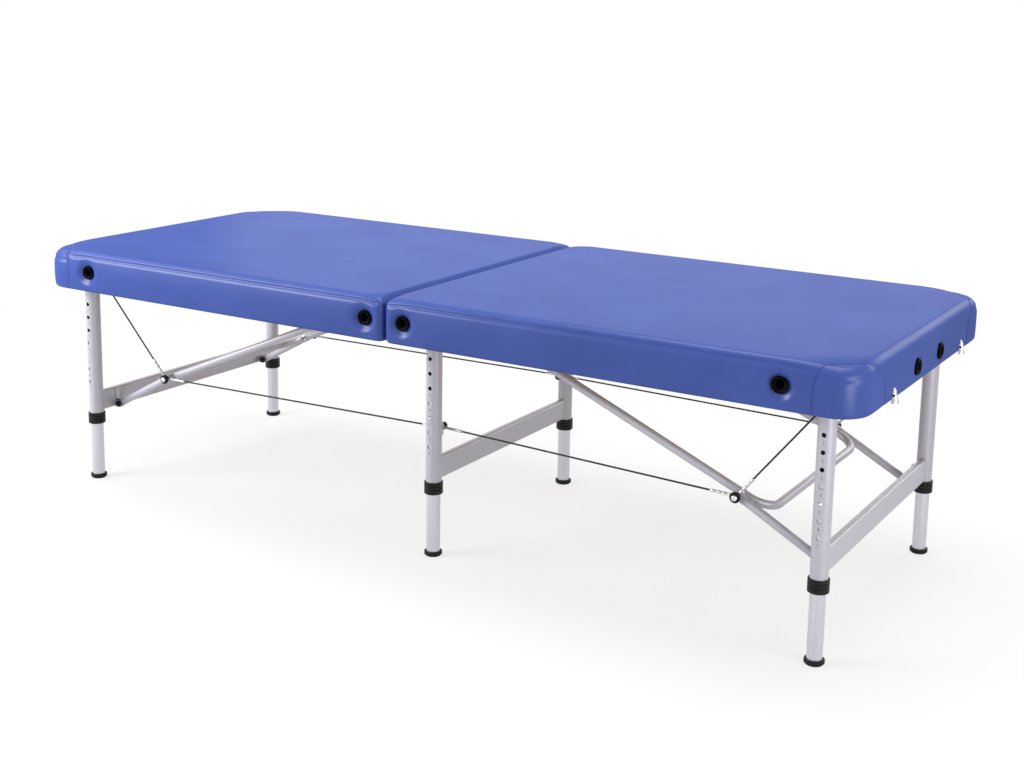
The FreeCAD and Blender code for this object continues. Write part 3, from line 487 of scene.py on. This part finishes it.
def swell(mesh):
    """Pumps the cover up as cloth held at its hem and, less firmly, along the seam under the roll."""
    start = [v.co.copy() for v in mesh.vertices]
    for v in mesh.vertices:
        depth = TOP - v.co.z
        v.co.z -= PUMP_SINK * max(0.0, 1 - depth / PUMP_SINK_DEPTH)
    soft = bpy.data.objects.new("pad_cloth", mesh.copy())
    scene.collection.objects.link(soft)
    held = soft.vertex_groups.new(name="held")
    for v in soft.data.vertices:
        if v.co.z < RIM + HEM_BAND:
            held.add([v.index], 1.0, "REPLACE")
        elif abs(v.co.z - SEAM_Z) < SEAM_BAND:
            held.add([v.index], SEAM_HOLD, "REPLACE")
        elif v.co.z > TOP - TOP_BAND:
            held.add([v.index], TOP_HOLD, "REPLACE")
    cloth = soft.modifiers.new("cloth", "CLOTH")
    cloth.settings.quality = 5
    cloth.settings.mass = 0.25
    cloth.settings.tension_stiffness = 40
    cloth.settings.compression_stiffness = 40
    cloth.settings.shear_stiffness = 12
    cloth.settings.bending_stiffness = 4
    cloth.settings.use_pressure = True
    cloth.settings.uniform_pressure_force = 4.0
    cloth.settings.vertex_group_mass = "held"
    cloth.settings.effector_weights.gravity = 0.0
    cloth.collision_settings.use_collision = False
    cloth.point_cache.frame_end = PUMP_FRAMES
    for step in range(1, PUMP_FRAMES + 1):
        scene.frame_set(step)
    made = soft.evaluated_get(bpy.context.evaluated_depsgraph_get())
    moved = [v.co.copy() for v in made.data.vertices]
    scene.frame_set(1)
    bpy.data.objects.remove(soft)
    ways = []
    for was, now in zip(start, moved):
        way = now - was
        size = way.length
        if size > 1e-9:
            way *= PUMP_CAP * math.tanh(size / PUMP_CAP) / size
        ways.append(way)
    for v, was, way in zip(mesh.vertices, start, evened(mesh, ways)):
        if was.x < FOLD + ROLL:
            way.x = max(way.x, -SEAM_SLACK)
        if was.x > HALF - ROLL:
            way.x = min(way.x, SEAM_SLACK)
        v.co = was + way


def refine(mesh):
    """One level of smooth subdivision."""
    thing = bpy.data.objects.new("pad_smooth", mesh)
    scene.collection.objects.link(thing)
    level = thing.modifiers.new("smooth", "SUBSURF")
    level.levels = 1
    made = bpy.data.meshes.new_from_object(thing.evaluated_get(bpy.context.evaluated_depsgraph_get()))
    bpy.data.objects.remove(thing)
    return made


def smooth_step(low, high, value):
    """0 below one value and 1 above another, with a smooth rise between them."""
    t = min(max((value - low) / (high - low), 0.0), 1.0)
    return t * t * (3 - 2 * t)


def soften(mesh):
    """Lowers the padding towards the corners, less at the fold."""
    for v in mesh.vertices:
        share = ((v.co.z - RIM) / (TOP - RIM)) ** 2
        to_side = SIDE - abs(v.co.y)
        end_share = 1 - smooth_step(0.0, END_REACH, HALF - v.co.x + to_side)
        fold_share = 1 - smooth_step(0.0, FOLD_REACH, v.co.x - FOLD + to_side)
        v.co.z -= share * (END_DROP * end_share + FOLD_DROP * fold_share)


def round_end(mesh):
    """Gives the top edge a larger roll on the end and its corners, which runs out along the long sides."""
    centre_x = HALF - END_CORNER
    centre_y = SIDE - END_CORNER
    for v in mesh.vertices:
        share = smooth_step(END_ROLL_FROM, END_ROLL_FULL, v.co.x)
        if share == 0.0:
            continue
        dx = max(v.co.x - centre_x, 0.0)
        dy = max(abs(v.co.y) - centre_y, 0.0)
        turn = math.atan2(dy, dx)
        out = Vector((math.cos(turn), math.copysign(math.sin(turn), v.co.y), 0))
        roll = ROLL + (END_ROLL - ROLL) * share
        across = END_CORNER - math.hypot(dx, dy) - roll
        down = TOP - v.co.z - roll
        size = math.hypot(across, down)
        if across < 0 and down < 0 and size > roll:
            v.co -= out * (across * roll / size - across)
            v.co.z -= down * roll / size - down


def round_fold(mesh):
    """Gives the top edge at the fold a larger roll."""
    for v in mesh.vertices:
        across = FOLD + FOLD_ROLL - v.co.x
        up = v.co.z - (TOP - FOLD_ROLL)
        size = math.hypot(across, up)
        if across > 0 and up > 0 and size > FOLD_ROLL:
            v.co.x += across * (1 - FOLD_ROLL / size)
            v.co.z -= up * (1 - FOLD_ROLL / size)


def crease(mesh):
    """Draws the long sides in along the seam under the roll and lets every side swell below it."""
    ways = [v.normal.copy() for v in mesh.vertices]
    for v, way in zip(mesh.vertices, ways):
        rise = v.co.z - SEAM_Z
        swelling = SIDE_SWELL * math.sin(math.pi * min(max((v.co.z - RIM) / (SEAM_Z - RIM), 0.0), 1.0))
        sewn = 1 - smooth_step(SEAM_END - SEAM_FADE, SEAM_END + SEAM_FADE, v.co.x)
        if abs(v.co.y) < SIDE - ROLL:
            sewn = 0.0
        free = FOLD_FREE if v.co.x < FOLD + FOLD_BAND else 1.0 - END_HELD * max(way.x, 0.0) ** 4
        way.z = 0.0
        v.co += way * free * (swelling - sewn * SEAM_DEPTH * math.exp(-(rise / SEAM_WIDTH) ** 2))


def gusset_path(sign_y):
    """Points of the arched corner seam, from the hem on the long side over the roll to the hem on the end."""
    points = [Vector((HALF - x, sign_y * SIDE, z)) for x, z in GUSSET_SIDE]
    points += [Vector((HALF - x, sign_y * (SIDE - y), TOP)) for x, y in GUSSET_TOP]
    points += [Vector((HALF, sign_y * y, z)) for y, z in GUSSET_END]
    return points


def corner_path(sign_y):
    """Points of the crease that goes on round the corner below the roll."""
    return [Vector((HALF - x, sign_y * (SIDE - y), CORNER_CREASE_Z)) for x, y in CORNER_CREASE]


def spline(points, per_span=10):
    """A smooth line through points."""
    line = []
    ends = [points[0] * 2 - points[1], *points, points[-1] * 2 - points[-2]]
    for a, b, c, d in zip(ends, ends[1:], ends[2:], ends[3:]):
        bend = 2 * a - 5 * b + 4 * c - d
        twist = 3 * b - a - 3 * c + d
        for k in range(per_span):
            t = k / per_span
            line.append(0.5 * (2 * b + (c - a) * t + bend * t * t + twist * t ** 3))
    line.append(points[-1].copy())
    return line


def relaxed(line):
    """A line with each inner point moved half way to the middle of its neighbours."""
    inner = [b * 0.5 + (a + c) * 0.25 for a, b, c in zip(line, line[1:], line[2:])]
    return [line[0], *inner, line[-1]]


def on_surface(mesh, line):
    """The nearest points of a mesh to a line's points, with the normals there."""
    tree = BVHTree.FromPolygons([v.co for v in mesh.vertices], [list(p.vertices) for p in mesh.polygons])
    found = []
    for point in line:
        place, normal, _, _ = tree.find_nearest(point)
        found.append((place, normal))
    return found


def sew(mesh, seams):
    """Draws the skin in along each seam."""
    for seam in seams:
        low = Vector([min(p[k] for p, _ in seam) - SEW_REACH for k in range(3)])
        high = Vector([max(p[k] for p, _ in seam) + SEW_REACH for k in range(3)])
        for v in mesh.vertices:
            if any(v.co[k] < low[k] or v.co[k] > high[k] for k in range(3)):
                continue
            gap, normal = min(((v.co - p).length, n) for p, n in seam)
            v.co -= normal * SEW_DEPTH * math.exp(-(gap / SEW_WIDTH) ** 2)


def dimple(mesh):
    """Draws the skin in round each socket."""
    for v in mesh.vertices:
        for place in SOCKET_X:
            if abs(v.co.y) > SIDE - DIMPLE_BAND:
                gap = math.hypot(v.co.x - place, v.co.z - SOCKET_Z)
                pull = 1 - smooth_step(DIMPLE_FLAT, SIDE_DIMPLE, gap)
                sign = 1 if v.co.y > 0 else -1
                v.co.y += pull * (sign * SIDE_SEAT - v.co.y)
        for place in HEAD_Y:
            if v.co.x > HALF - DIMPLE_BAND:
                gap = math.hypot(v.co.y - place, v.co.z - HEAD_Z)
                pull = 1 - smooth_step(DIMPLE_FLAT, END_DIMPLE, gap)
                v.co.x += pull * (END_SEAT - v.co.x)


def socket_axes():
    """A point on the rail face and the outward axis of each socket of the right-hand panel."""
    axes = []
    for sign in (-1, 1):
        for x in SOCKET_X:
            axes.append((Vector((x, sign * FACE, SOCKET_Z)), Vector((0, sign, 0))))
        axes.append((Vector((END_FACE, sign * HEAD_Y[1], HEAD_Z)), Vector((1, 0, 0))))
    return axes


def modified(mesh, kind, **settings):
    """A mesh after one modifier."""
    thing = bpy.data.objects.new("work", mesh)
    scene.collection.objects.link(thing)
    step = thing.modifiers.new("step", kind)
    for key, value in settings.items():
        setattr(step, key, value)
    made = bpy.data.meshes.new_from_object(thing.evaluated_get(bpy.context.evaluated_depsgraph_get()))
    bpy.data.objects.remove(thing)
    return made


def pierce(mesh):
    """Cuts the skin away where a socket's flange covers it."""
    bm = bmesh.new()
    for place, axis in socket_axes():
        lathe(bm, PUNCH, frame_along(place, place + axis))
    punch = bpy.data.objects.new("punch", mesh_from(bm, "punch"))
    scene.collection.objects.link(punch)
    made = modified(mesh, "BOOLEAN", operation="DIFFERENCE", object=punch, solver="EXACT")
    bpy.data.objects.remove(punch)
    return made


def thread(seam):
    """A thin welt along a seam, half sunk in the skin."""
    bm = bmesh.new()
    rings = []
    for spot, (place, normal) in enumerate(seam):
        ahead = seam[min(spot + 1, len(seam) - 1)][0] - seam[max(spot - 1, 0)][0]
        way = ahead.normalized()
        across = way.cross(normal).normalized()
        out = across.cross(way).normalized()
        ring = []
        for k in range(WELT_SIDES):
            turn = 2 * math.pi * k / WELT_SIDES
            off = across * WELT_RADIUS * math.cos(turn)
            ring.append(bm.verts.new(place + off + out * WELT_RADIUS * math.sin(turn)))
        rings.append(ring)
    for low, high in zip(rings, rings[1:]):
        for k in range(WELT_SIDES):
            after = (k + 1) % WELT_SIDES
            bm.faces.new((low[k], low[after], high[after], high[k]))
    bm.faces.new(rings[0])
    bm.faces.new(rings[-1])
    return mesh_from(bm, "welt")


def joined(meshes, name):
    """One mesh from several."""
    bm = bmesh.new()
    for mesh in meshes:
        bm.from_mesh(mesh)
    return mesh_from(bm, name)


def flipped(mesh):
    """A mesh mirrored across the fold."""
    copy = mesh.copy()
    copy.transform(Matrix.Scale(-1, 4, (1, 0, 0)))
    copy.flip_normals()
    return copy


def upholster():
    """Both padded covers with their seams."""
    skin = pad_mesh()
    swell(skin)
    skin = refine(skin)
    crease(skin)
    round_end(skin)
    round_fold(skin)
    soften(skin)
    dimple(skin)
    sew(skin, [on_surface(skin, spline(corner_path(sign))) for sign in (-1, 1)])
    seams = []
    for sign in (-1, 1):
        line = spline(gusset_path(sign))
        for _ in range(RELAX_ROUNDS):
            line = relaxed([place for place, _ in on_surface(skin, line)])
        seams.append(on_surface(skin, line))
    sew(skin, seams)
    seams = [on_surface(skin, [p for p, _ in seam]) for seam in seams]
    welts = joined([thread(seam) for seam in seams], "welts")
    skin = modified(skin, "SOLIDIFY", thickness=SKIN, offset=-1.0, use_rim=True)
    skin = pierce(skin)
    for face in skin.polygons:
        face.use_smooth = True
    for body, pad, welt in (
        ("right_panel", skin, welts),
        ("left_panel", flipped(skin), flipped(welts)),
    ):
        side = body.split("_")[0]
        cover = add(f"{side}_upholstery", pad, VINYL, body)
        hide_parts(f"{side}_cover", f"{side}_foam")
        # The corner welts' darker blue is partly painted shade of the seam groove
        add(f"{side}_corner_welts", welt, SEAM_AND_SHADE, body)


upholster()


# Socket rims

BORE = 0.0082
RING = 0.0150
RING_RISE = 0.0054
RING_EDGE = 0.0012
SIDE_FLANGE = 0.0030
END_FLANGE = 0.0060
RIM_SIDES = 40


def socket_rims():
    """Black rims that stand proud of the socket flanges, with a slope that leads into the bore."""
    outline = [
        (BORE, 0), (RING, 0), (RING, RING_RISE - RING_EDGE), (RING - RING_EDGE, RING_RISE),
        (RING - 2 * RING_EDGE, RING_RISE), (BORE, 2 * RING_EDGE), (BORE, 0),
    ]
    bm = bmesh.new()
    for place, axis in socket_axes():
        seat = place + axis * (END_FLANGE if axis.x else SIDE_FLANGE)
        lathe(bm, outline, frame_along(seat, seat + axis), RIM_SIDES)
    bmesh.ops.remove_doubles(bm, verts=bm.verts, dist=1e-6)
    rims = mesh_from(bm, "rims")
    for body, mesh in (("right_panel", rims), ("left_panel", flipped(rims))):
        side = body.split("_")[0]
        sharpen(add(f"{side}_socket_rims", mesh, SOCKET, body))


socket_rims()


# Stay cables

KNUCKLE = Vector((0.690, -0.25505, 0.250))
WIRE = 0.00175
WIRE_SIDES = 10
LEG_ANCHOR = Vector((0.870, -0.2785, 0.473))
CLIP_RIGHT = Vector((0.046, -0.24065, 0.262))
CLIP_LEFT = Vector((0.046, -0.24395, 0.262))
EYE_STEP = Vector((0, -0.0033, 0))

# Ferrules, as (radius, distance from the bolt) pairs, and the section of their eyes
FERRULE_GRIP = 0.036
FERRULE_SIDES = 14
SLEEVE = 0.0030
SLEEVE_LEAD = [(0, 0.008), (0.0022, 0.008), (0.0028, 0.011)]
SLEEVE_TIP = 0.019
SLEEVE_TIP_EDGE = 0.002
SLEEVE_TIP_RADIUS = 0.0019
CRIMP = 0.0025
CRIMP_START = 0.016
CRIMP_PITCH = 0.011
CRIMP_LENGTHS = (-0.002, 0.003, 0.005)
EYE_SECTION = ((0.0042, -0.00115), (0.0070, -0.00115), (0.0070, 0.00115), (0.0042, 0.00115))
EYE_SIDES = 24


def wire(bm, start, end):
    """A sheathed run of cable between two points."""
    length = (end - start).length
    lathe(bm, [(0, 0), (WIRE, 0), (WIRE, length), (0, length)], frame_along(start, end), WIRE_SIDES)


def ferrule(bm, place, other, crimps):
    """A crimped sleeve on a cable's end, towards the other end, with an eye round a bolt."""
    outline = list(SLEEVE_LEAD)
    before, flat, after = CRIMP_LENGTHS
    for k in range(crimps):
        low = CRIMP_START + CRIMP_PITCH * k
        outline += [(SLEEVE, low + before), (CRIMP, low), (CRIMP, low + flat), (SLEEVE, low + after)]
    tip = SLEEVE_TIP + CRIMP_PITCH * crimps
    outline += [(SLEEVE, tip - SLEEVE_TIP_EDGE), (SLEEVE_TIP_RADIUS, tip), (0, tip)]
    lathe(bm, outline, frame_along(place, other), FERRULE_SIDES)
    seat = frame_along(place, place + Vector((0, 1, 0)))
    rings = []
    for k in range(EYE_SIDES):
        turn = 2 * math.pi * k / EYE_SIDES
        ring = []
        for radius, height in EYE_SECTION:
            spot = Vector((radius * math.cos(turn), radius * math.sin(turn), height))
            ring.append(bm.verts.new(seat @ spot))
        rings.append(ring)
    corners = len(EYE_SECTION)
    for low, high in zip(rings, rings[1:] + rings[:1]):
        for k in range(corners):
            after = (k + 1) % corners
            bm.faces.new((low[k], low[after], high[after], high[k]))


def inside(place, other):
    """The point where a cable runs into the ferrule at one of its ends."""
    return place + (other - place).normalized() * FERRULE_GRIP


def cables():
    """The stay cables, parted at the fold, which tuck flat into the panels as the table closes."""
    outer = KNUCKLE + EYE_STEP
    to_left = Vector((-1, 1, 1))
    knuckle_left = KNUCKLE * to_left
    over_fold = knuckle_left.lerp(CLIP_LEFT, knuckle_left.x / (knuckle_left.x - CLIP_LEFT.x))
    plain = {
        "right_end": ("right_panel", outer, LEG_ANCHOR),
        "right_fold": ("right_panel", KNUCKLE, CLIP_RIGHT),
        "left_end": ("left_panel", outer * to_left, LEG_ANCHOR * to_left),
    }
    runs = {}
    for name, (body, start, end) in plain.items():
        runs[name] = (body, (inside(start, end), inside(end, start)), ((start, end, 3), (end, start, 3)))
    runs["left_fold"] = (
        "left_panel", (inside(knuckle_left, CLIP_LEFT), over_fold), ((knuckle_left, CLIP_LEFT, 3),)
    )
    runs["left_clip"] = (
        "right_panel", (over_fold, inside(CLIP_LEFT, knuckle_left)), ((CLIP_LEFT, knuckle_left, 2),)
    )
    for name, (body, span, ends) in runs.items():
        wires = bmesh.new()
        metal_ends = bmesh.new()
        for mirror in (1, -1):
            flip = Vector((1, mirror, 1))
            wire(wires, span[0] * flip, span[1] * flip)
            for place, other, crimps in ends:
                ferrule(metal_ends, place * flip, other * flip, crimps)
        sheath = add(f"{name}_wires", mesh_from(wires, name), SHEATH, body)
        sleeves = add(f"{name}_ferrules", mesh_from(metal_ends, name), FERRULE, body)
        if name != "left_clip":
            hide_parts(f"{name}_cables")
        for piece in (sheath, sleeves):
            sharpen(piece)
            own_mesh(piece)


cables()


# Numbers by the locking holes

LEG_PLACES = (("left", -0.865, 0.305), ("mid", 0.046, 0.265), ("right", 0.865, 0.305))
HOLES = 7
HOLE_TOP = 0.410
HOLE_PITCH = 0.030
NUMBER_DROP = 0.0165
NUMBER_OUT = 0.01585
NUMBER_SIZE = 0.0075
NUMBER_DEPTH = 0.0002


def numbers(label, x, y, body):
    """Small numbers beside the holes of a leg's outer tube."""
    bm = bmesh.new()
    outward = 1 if y > 0 else -1
    for k in range(HOLES):
        curve = bpy.data.curves.new("number", "FONT")
        curve.body = str(k + 1)
        curve.size = NUMBER_SIZE
        curve.align_x = "CENTER"
        curve.extrude = NUMBER_DEPTH
        text = bpy.data.objects.new("number", curve)
        scene.collection.objects.link(text)
        bpy.context.view_layer.update()
        mesh = bpy.data.meshes.new_from_object(text.evaluated_get(bpy.context.evaluated_depsgraph_get()))
        bpy.data.objects.remove(text)
        stand = Matrix.Rotation(math.radians(90), 4, "X")
        if outward > 0:
            stand = Matrix.Rotation(math.radians(180), 4, "Z") @ stand
        place = Vector((x, y + outward * NUMBER_OUT, HOLE_TOP - HOLE_PITCH * k - NUMBER_DROP))
        mesh.transform(Matrix.Translation(place) @ stand)
        bm.from_mesh(mesh)
    add(label, mesh_from(bm, label, False), INK, body)


for leg, leg_x, leg_y in LEG_PLACES:
    numbers(f"{leg}_near_numbers", leg_x, -leg_y, f"{leg}_legs")
    numbers(f"{leg}_far_numbers", leg_x, leg_y, f"{leg}_legs")


# Knuckle caps, as (radius, height) pairs on the outer face of the strut

KNUCKLE_FACE = 0.2604
KNUCKLE_COLLAR = [
    (0, 0), (0.0092, 0), (0.0100, 0.0008), (0.0100, 0.0058), (0.0092, 0.0066), (0.0066, 0.0066),
    (0.0062, 0.0060), (0, 0.0060),
]
COLLAR_SIDES = 32
KNUCKLE_DOME = [
    (0, 0.0055), (0.0058, 0.0055), (0.0058, 0.0078), (0.0050, 0.0094), (0.0032, 0.0105), (0, 0.0109),
]
DOME_SIDES = 28


def knuckle_caps():
    """A black washer and a bright domed nut over the outer end of each knuckle bolt."""
    for side, sign in (("right", 1), ("left", -1)):
        collar = bmesh.new()
        dome = bmesh.new()
        for mirror in (-1, 1):
            start = Vector((sign * KNUCKLE.x, mirror * KNUCKLE_FACE, KNUCKLE.z))
            turn = frame_along(start, start + Vector((0, mirror, 0)))
            lathe(collar, KNUCKLE_COLLAR, turn, COLLAR_SIDES)
            lathe(dome, KNUCKLE_DOME, turn, DOME_SIDES)
        body = f"{side}_strut_pair"
        sharpen(add(f"{side}_knuckle_collars", mesh_from(collar, "collars"), BLACK, body))
        sharpen(add(f"{side}_knuckle_domes", mesh_from(dome, "domes"), CHROME, body))


knuckle_caps()


# Pivot caps

STRUT_PIN = Vector((0.846, 0.250, 0.1657))
STRUT_CAP_SEAT = 0.0057
STRUT_CAP_RADIUS = 0.0075
STRUT_CAP_RISE = 0.0038
CLIP_BOLT = Vector((0.046, 0.2361, 0.262))
CLIP_KNOB_RADIUS = 0.0080
CLIP_KNOB_RISE = 0.0090
KNOB_EDGE = 0.2
KNOB_FOOT = 0.85


def knob(bm, place, outward, radius, height):
    """A small turned knob with rounded edges that stands on a face."""
    edge = radius * KNOB_EDGE
    outline = [
        (0, 0), (radius * KNOB_FOOT, 0), (radius, edge),
        (radius, height - edge), (radius - edge, height), (0, height),
    ]
    lathe(bm, outline, frame_along(place, place + outward))


def pivot_caps():
    """Black caps over the strut pins and on the clip bolts of the middle legs."""
    for side, sign in (("right", 1), ("left", -1)):
        bm = bmesh.new()
        for mirror in (-1, 1):
            for way in (mirror, -mirror):
                cap_y = mirror * STRUT_PIN.y + way * STRUT_CAP_SEAT
                place = Vector((sign * STRUT_PIN.x, cap_y, STRUT_PIN.z))
                knob(bm, place, Vector((0, way, 0)), STRUT_CAP_RADIUS, STRUT_CAP_RISE)
        sharpen(add(f"{side}_strut_pin_caps", mesh_from(bm, "caps"), BLACK, f"{side}_legs"))
    bm = bmesh.new()
    for mirror in (-1, 1):
        place = Vector((CLIP_BOLT.x, mirror * CLIP_BOLT.y, CLIP_BOLT.z))
        knob(bm, place, Vector((0, -mirror, 0)), CLIP_KNOB_RADIUS, CLIP_KNOB_RISE)
    sharpen(add("mid_clip_knobs", mesh_from(bm, "knobs"), BLACK, "mid_legs"))


pivot_caps()


# Catch hooks

CATCH_Y = 0.208
CATCH_FRONT = HALF + 0.002
CATCH_FOOT = RIM - 0.002
CATCH_BACK = 0.15
HOOK = [
    (0, 0), (0.0082, 0), (0.0090, 0.0008), (0.0090, 0.0028), (0.0080, 0.0044), (0.0064, 0.0090),
    (0.0054, 0.0140), (0.0042, 0.0190), (0.0036, 0.0225), (0.0026, 0.0244), (0, 0.0250),
]
HOOK_SIDES = 36
PIN_Z = RIM + 0.0115
PIN_OUT = 0.0016
PIN_HALF = 0.0062
PIN_ROUND = 0.0022
PIN_TIP = PIN_ROUND * 0.8
PIN_EDGE = 0.0004


def catch_hooks():
    """A bright bell-shaped hook with a dark cross pin on each catch plate."""
    hooks = bmesh.new()
    pins = bmesh.new()
    length = 2 * PIN_HALF
    pin_outline = [
        (0, 0), (PIN_TIP, 0), (PIN_ROUND, PIN_EDGE),
        (PIN_ROUND, length - PIN_EDGE), (PIN_TIP, length), (0, length),
    ]
    for y in (-CATCH_Y, CATCH_Y):
        lathe(hooks, HOOK, Matrix.Translation((CATCH_FRONT, y, CATCH_FOOT)), HOOK_SIDES)
        start = Vector((CATCH_FRONT + PIN_OUT, y - PIN_HALF, PIN_Z))
        lathe(pins, pin_outline, frame_along(start, start + Vector((0, 1, 0))))
    for v in hooks.verts:
        if v.co.x < CATCH_FRONT:
            v.co.x = CATCH_FRONT + (v.co.x - CATCH_FRONT) * CATCH_BACK
    sharpen(add("catch_hooks", mesh_from(hooks, "hooks"), NICKEL, "right_panel"))
    sharpen(add("catch_pins", mesh_from(pins, "pins"), BLACK, "right_panel"))


catch_hooks()


# Camera, light and floor

PHOTO_WIDTH = 1024
PHOTO_MIDDLE_ROW = 384
OPTIC_ROW = 260
FOCAL_PIXELS = 1470.7
SENSOR = 36.0
CAMERA_PLACE = (1.6422, -2.5855, 1.1294)
CAMERA_YAW = -31.483
CAMERA_PITCH = 10.512
CAMERA_ROLL = -0.957
FAR_CLIP = 100

# Soft boxes: name, place, point aimed at, size and power
LAMPS = (
    ("key", (-2.2, -2.1, 1.4), (-0.6, 0, 0.45), (1.6, 1.2), 100),
    ("over", (0.2, 0.4, 3.6), (0.1, 0, 0.4), (3.0, 2.0), 102),
    ("side", (3.6, -0.8, 1.4), (0.9, 0, 0.45), (0.8, 1.2), 26),
    ("corner", (2.1, -1.05, 0.45), (0.9, -0.33, 0.48), (0.6, 0.8), 11),
    ("left", (-2.6, -0.3, 2.45), (-0.6, -0.2, 0.5), (1.2, 1.8), 26),
    ("horizon", (-0.9, 3.4, 1.35), (-0.3, 0, 0.5), (5.2, 1.2), 32),
    ("rear", (1.7, 3.0, 1.5), (0.9, 0, 0.5), (1.2, 0.8), 18),
)
WORLD_LIGHT = 0.25
FLOOR_REACH = 30
FLOOR_BOUNCE = 0.515
FLOOR_PALE = 0.76
FLOOR_WHITE = 0.72
FADE = (1.2, 2.6)


def camera():
    """A camera at the photograph's viewing angle."""
    data = bpy.data.cameras.new("camera")
    data.sensor_width = SENSOR
    data.lens = FOCAL_PIXELS / PHOTO_WIDTH * SENSOR
    data.shift_y = (OPTIC_ROW - PHOTO_MIDDLE_ROW) / PHOTO_WIDTH
    data.clip_end = FAR_CLIP
    yaw, pitch, roll = (math.radians(a) for a in (CAMERA_YAW, CAMERA_PITCH, CAMERA_ROLL))
    ahead = Vector((math.sin(yaw) * math.cos(pitch), math.cos(yaw) * math.cos(pitch), -math.sin(pitch)))
    right = Vector((math.cos(yaw), -math.sin(yaw), 0))
    down = ahead.cross(right)
    turned_right = math.cos(roll) * right + math.sin(roll) * down
    turned_down = -math.sin(roll) * right + math.cos(roll) * down
    turn = Matrix((turned_right, -turned_down, -ahead)).transposed()
    thing = bpy.data.objects.new("camera", data)
    scene.collection.objects.link(thing)
    thing.matrix_world = Matrix.Translation(CAMERA_PLACE) @ turn.to_4x4()
    scene.camera = thing


def lamp(name, place, target, size, power):
    """A square soft box turned to a point."""
    data = bpy.data.lights.new(name, "AREA")
    data.shape = "RECTANGLE"
    data.size, data.size_y = size
    data.energy = power
    thing = bpy.data.objects.new(name, data)
    scene.collection.objects.link(thing)
    thing.location = place
    thing.visible_camera = False
    thing.rotation_euler = (Vector(target) - Vector(place)).to_track_quat("-Z", "Y").to_euler()


def seen(tree):
    """1 for rays from the camera and for those mirrored or let through by the object, else 0."""
    path = tree.nodes.new("ShaderNodeLightPath")
    total = path.outputs["Is Camera Ray"]
    for kind in ("Is Glossy Ray", "Is Transmission Ray"):
        either = tree.nodes.new("ShaderNodeMath")
        either.operation = "MAXIMUM"
        tree.links.new(total, either.inputs[0])
        tree.links.new(path.outputs[kind], either.inputs[1])
        total = either.outputs["Value"]
    return total


def surroundings():
    """A white world that lights the object more gently than it looks."""
    world = bpy.data.worlds.new("studio")
    scene.world = world
    world.use_nodes = True
    tree = world.node_tree
    back = tree.nodes["Background"]
    back.inputs["Color"].default_value = (1, 1, 1, 1)
    level = tree.nodes.new("ShaderNodeMapRange")
    level.inputs["To Min"].default_value = WORLD_LIGHT
    level.inputs["To Max"].default_value = 1.0
    tree.links.new(seen(tree), level.inputs["Value"])
    tree.links.new(level.outputs["Result"], back.inputs["Strength"])


def floor_look():
    """A pale floor that fades to white away from the object and throws little light back at it."""
    m = Nodes("pale_floor", Roughness=0.9)
    tree = m.tree
    pale = tree.nodes.new("ShaderNodeMapRange")
    pale.inputs["To Min"].default_value = FLOOR_BOUNCE
    pale.inputs["To Max"].default_value = FLOOR_PALE
    m.link(seen(tree), pale.inputs["Value"])
    m.set("Base Color", pale.outputs["Result"])
    reach = tree.nodes.new("ShaderNodeVectorMath")
    reach.operation = "LENGTH"
    m.link(m.coords, reach.inputs[0])
    fade = tree.nodes.new("ShaderNodeMapRange")
    fade.inputs["From Min"].default_value = FADE[0]
    fade.inputs["From Max"].default_value = FADE[1]
    fade.inputs["To Min"].default_value = FLOOR_WHITE
    fade.inputs["To Max"].default_value = 1.0
    m.link(reach.outputs["Value"], fade.inputs["Value"])
    share = tree.nodes.new("ShaderNodeMath")
    share.operation = "MULTIPLY"
    m.link(fade.outputs["Result"], share.inputs[0])
    m.link(seen(tree), share.inputs[1])
    white = tree.nodes.new("ShaderNodeEmission")
    mix = tree.nodes.new("ShaderNodeMixShader")
    m.link(share.outputs["Value"], mix.inputs["Fac"])
    m.link(m.shader.outputs["BSDF"], mix.inputs[1])
    m.link(white.outputs["Emission"], mix.inputs[2])
    m.link(mix.outputs["Shader"], tree.nodes["Material Output"].inputs["Surface"])
    return m.material


def studio():
    """Soft boxes round the object and the floor under it."""
    surroundings()
    for settings in LAMPS:
        lamp(*settings)
    bm = bmesh.new()
    bmesh.ops.create_grid(bm, x_segments=1, y_segments=1, size=FLOOR_REACH)
    floor = bpy.data.objects.new("floor", mesh_from(bm, "floor"))
    scene.collection.objects.link(floor)
    floor.data.materials.append(floor_look())


camera()
studio()
scene.view_settings.view_transform = "Standard"
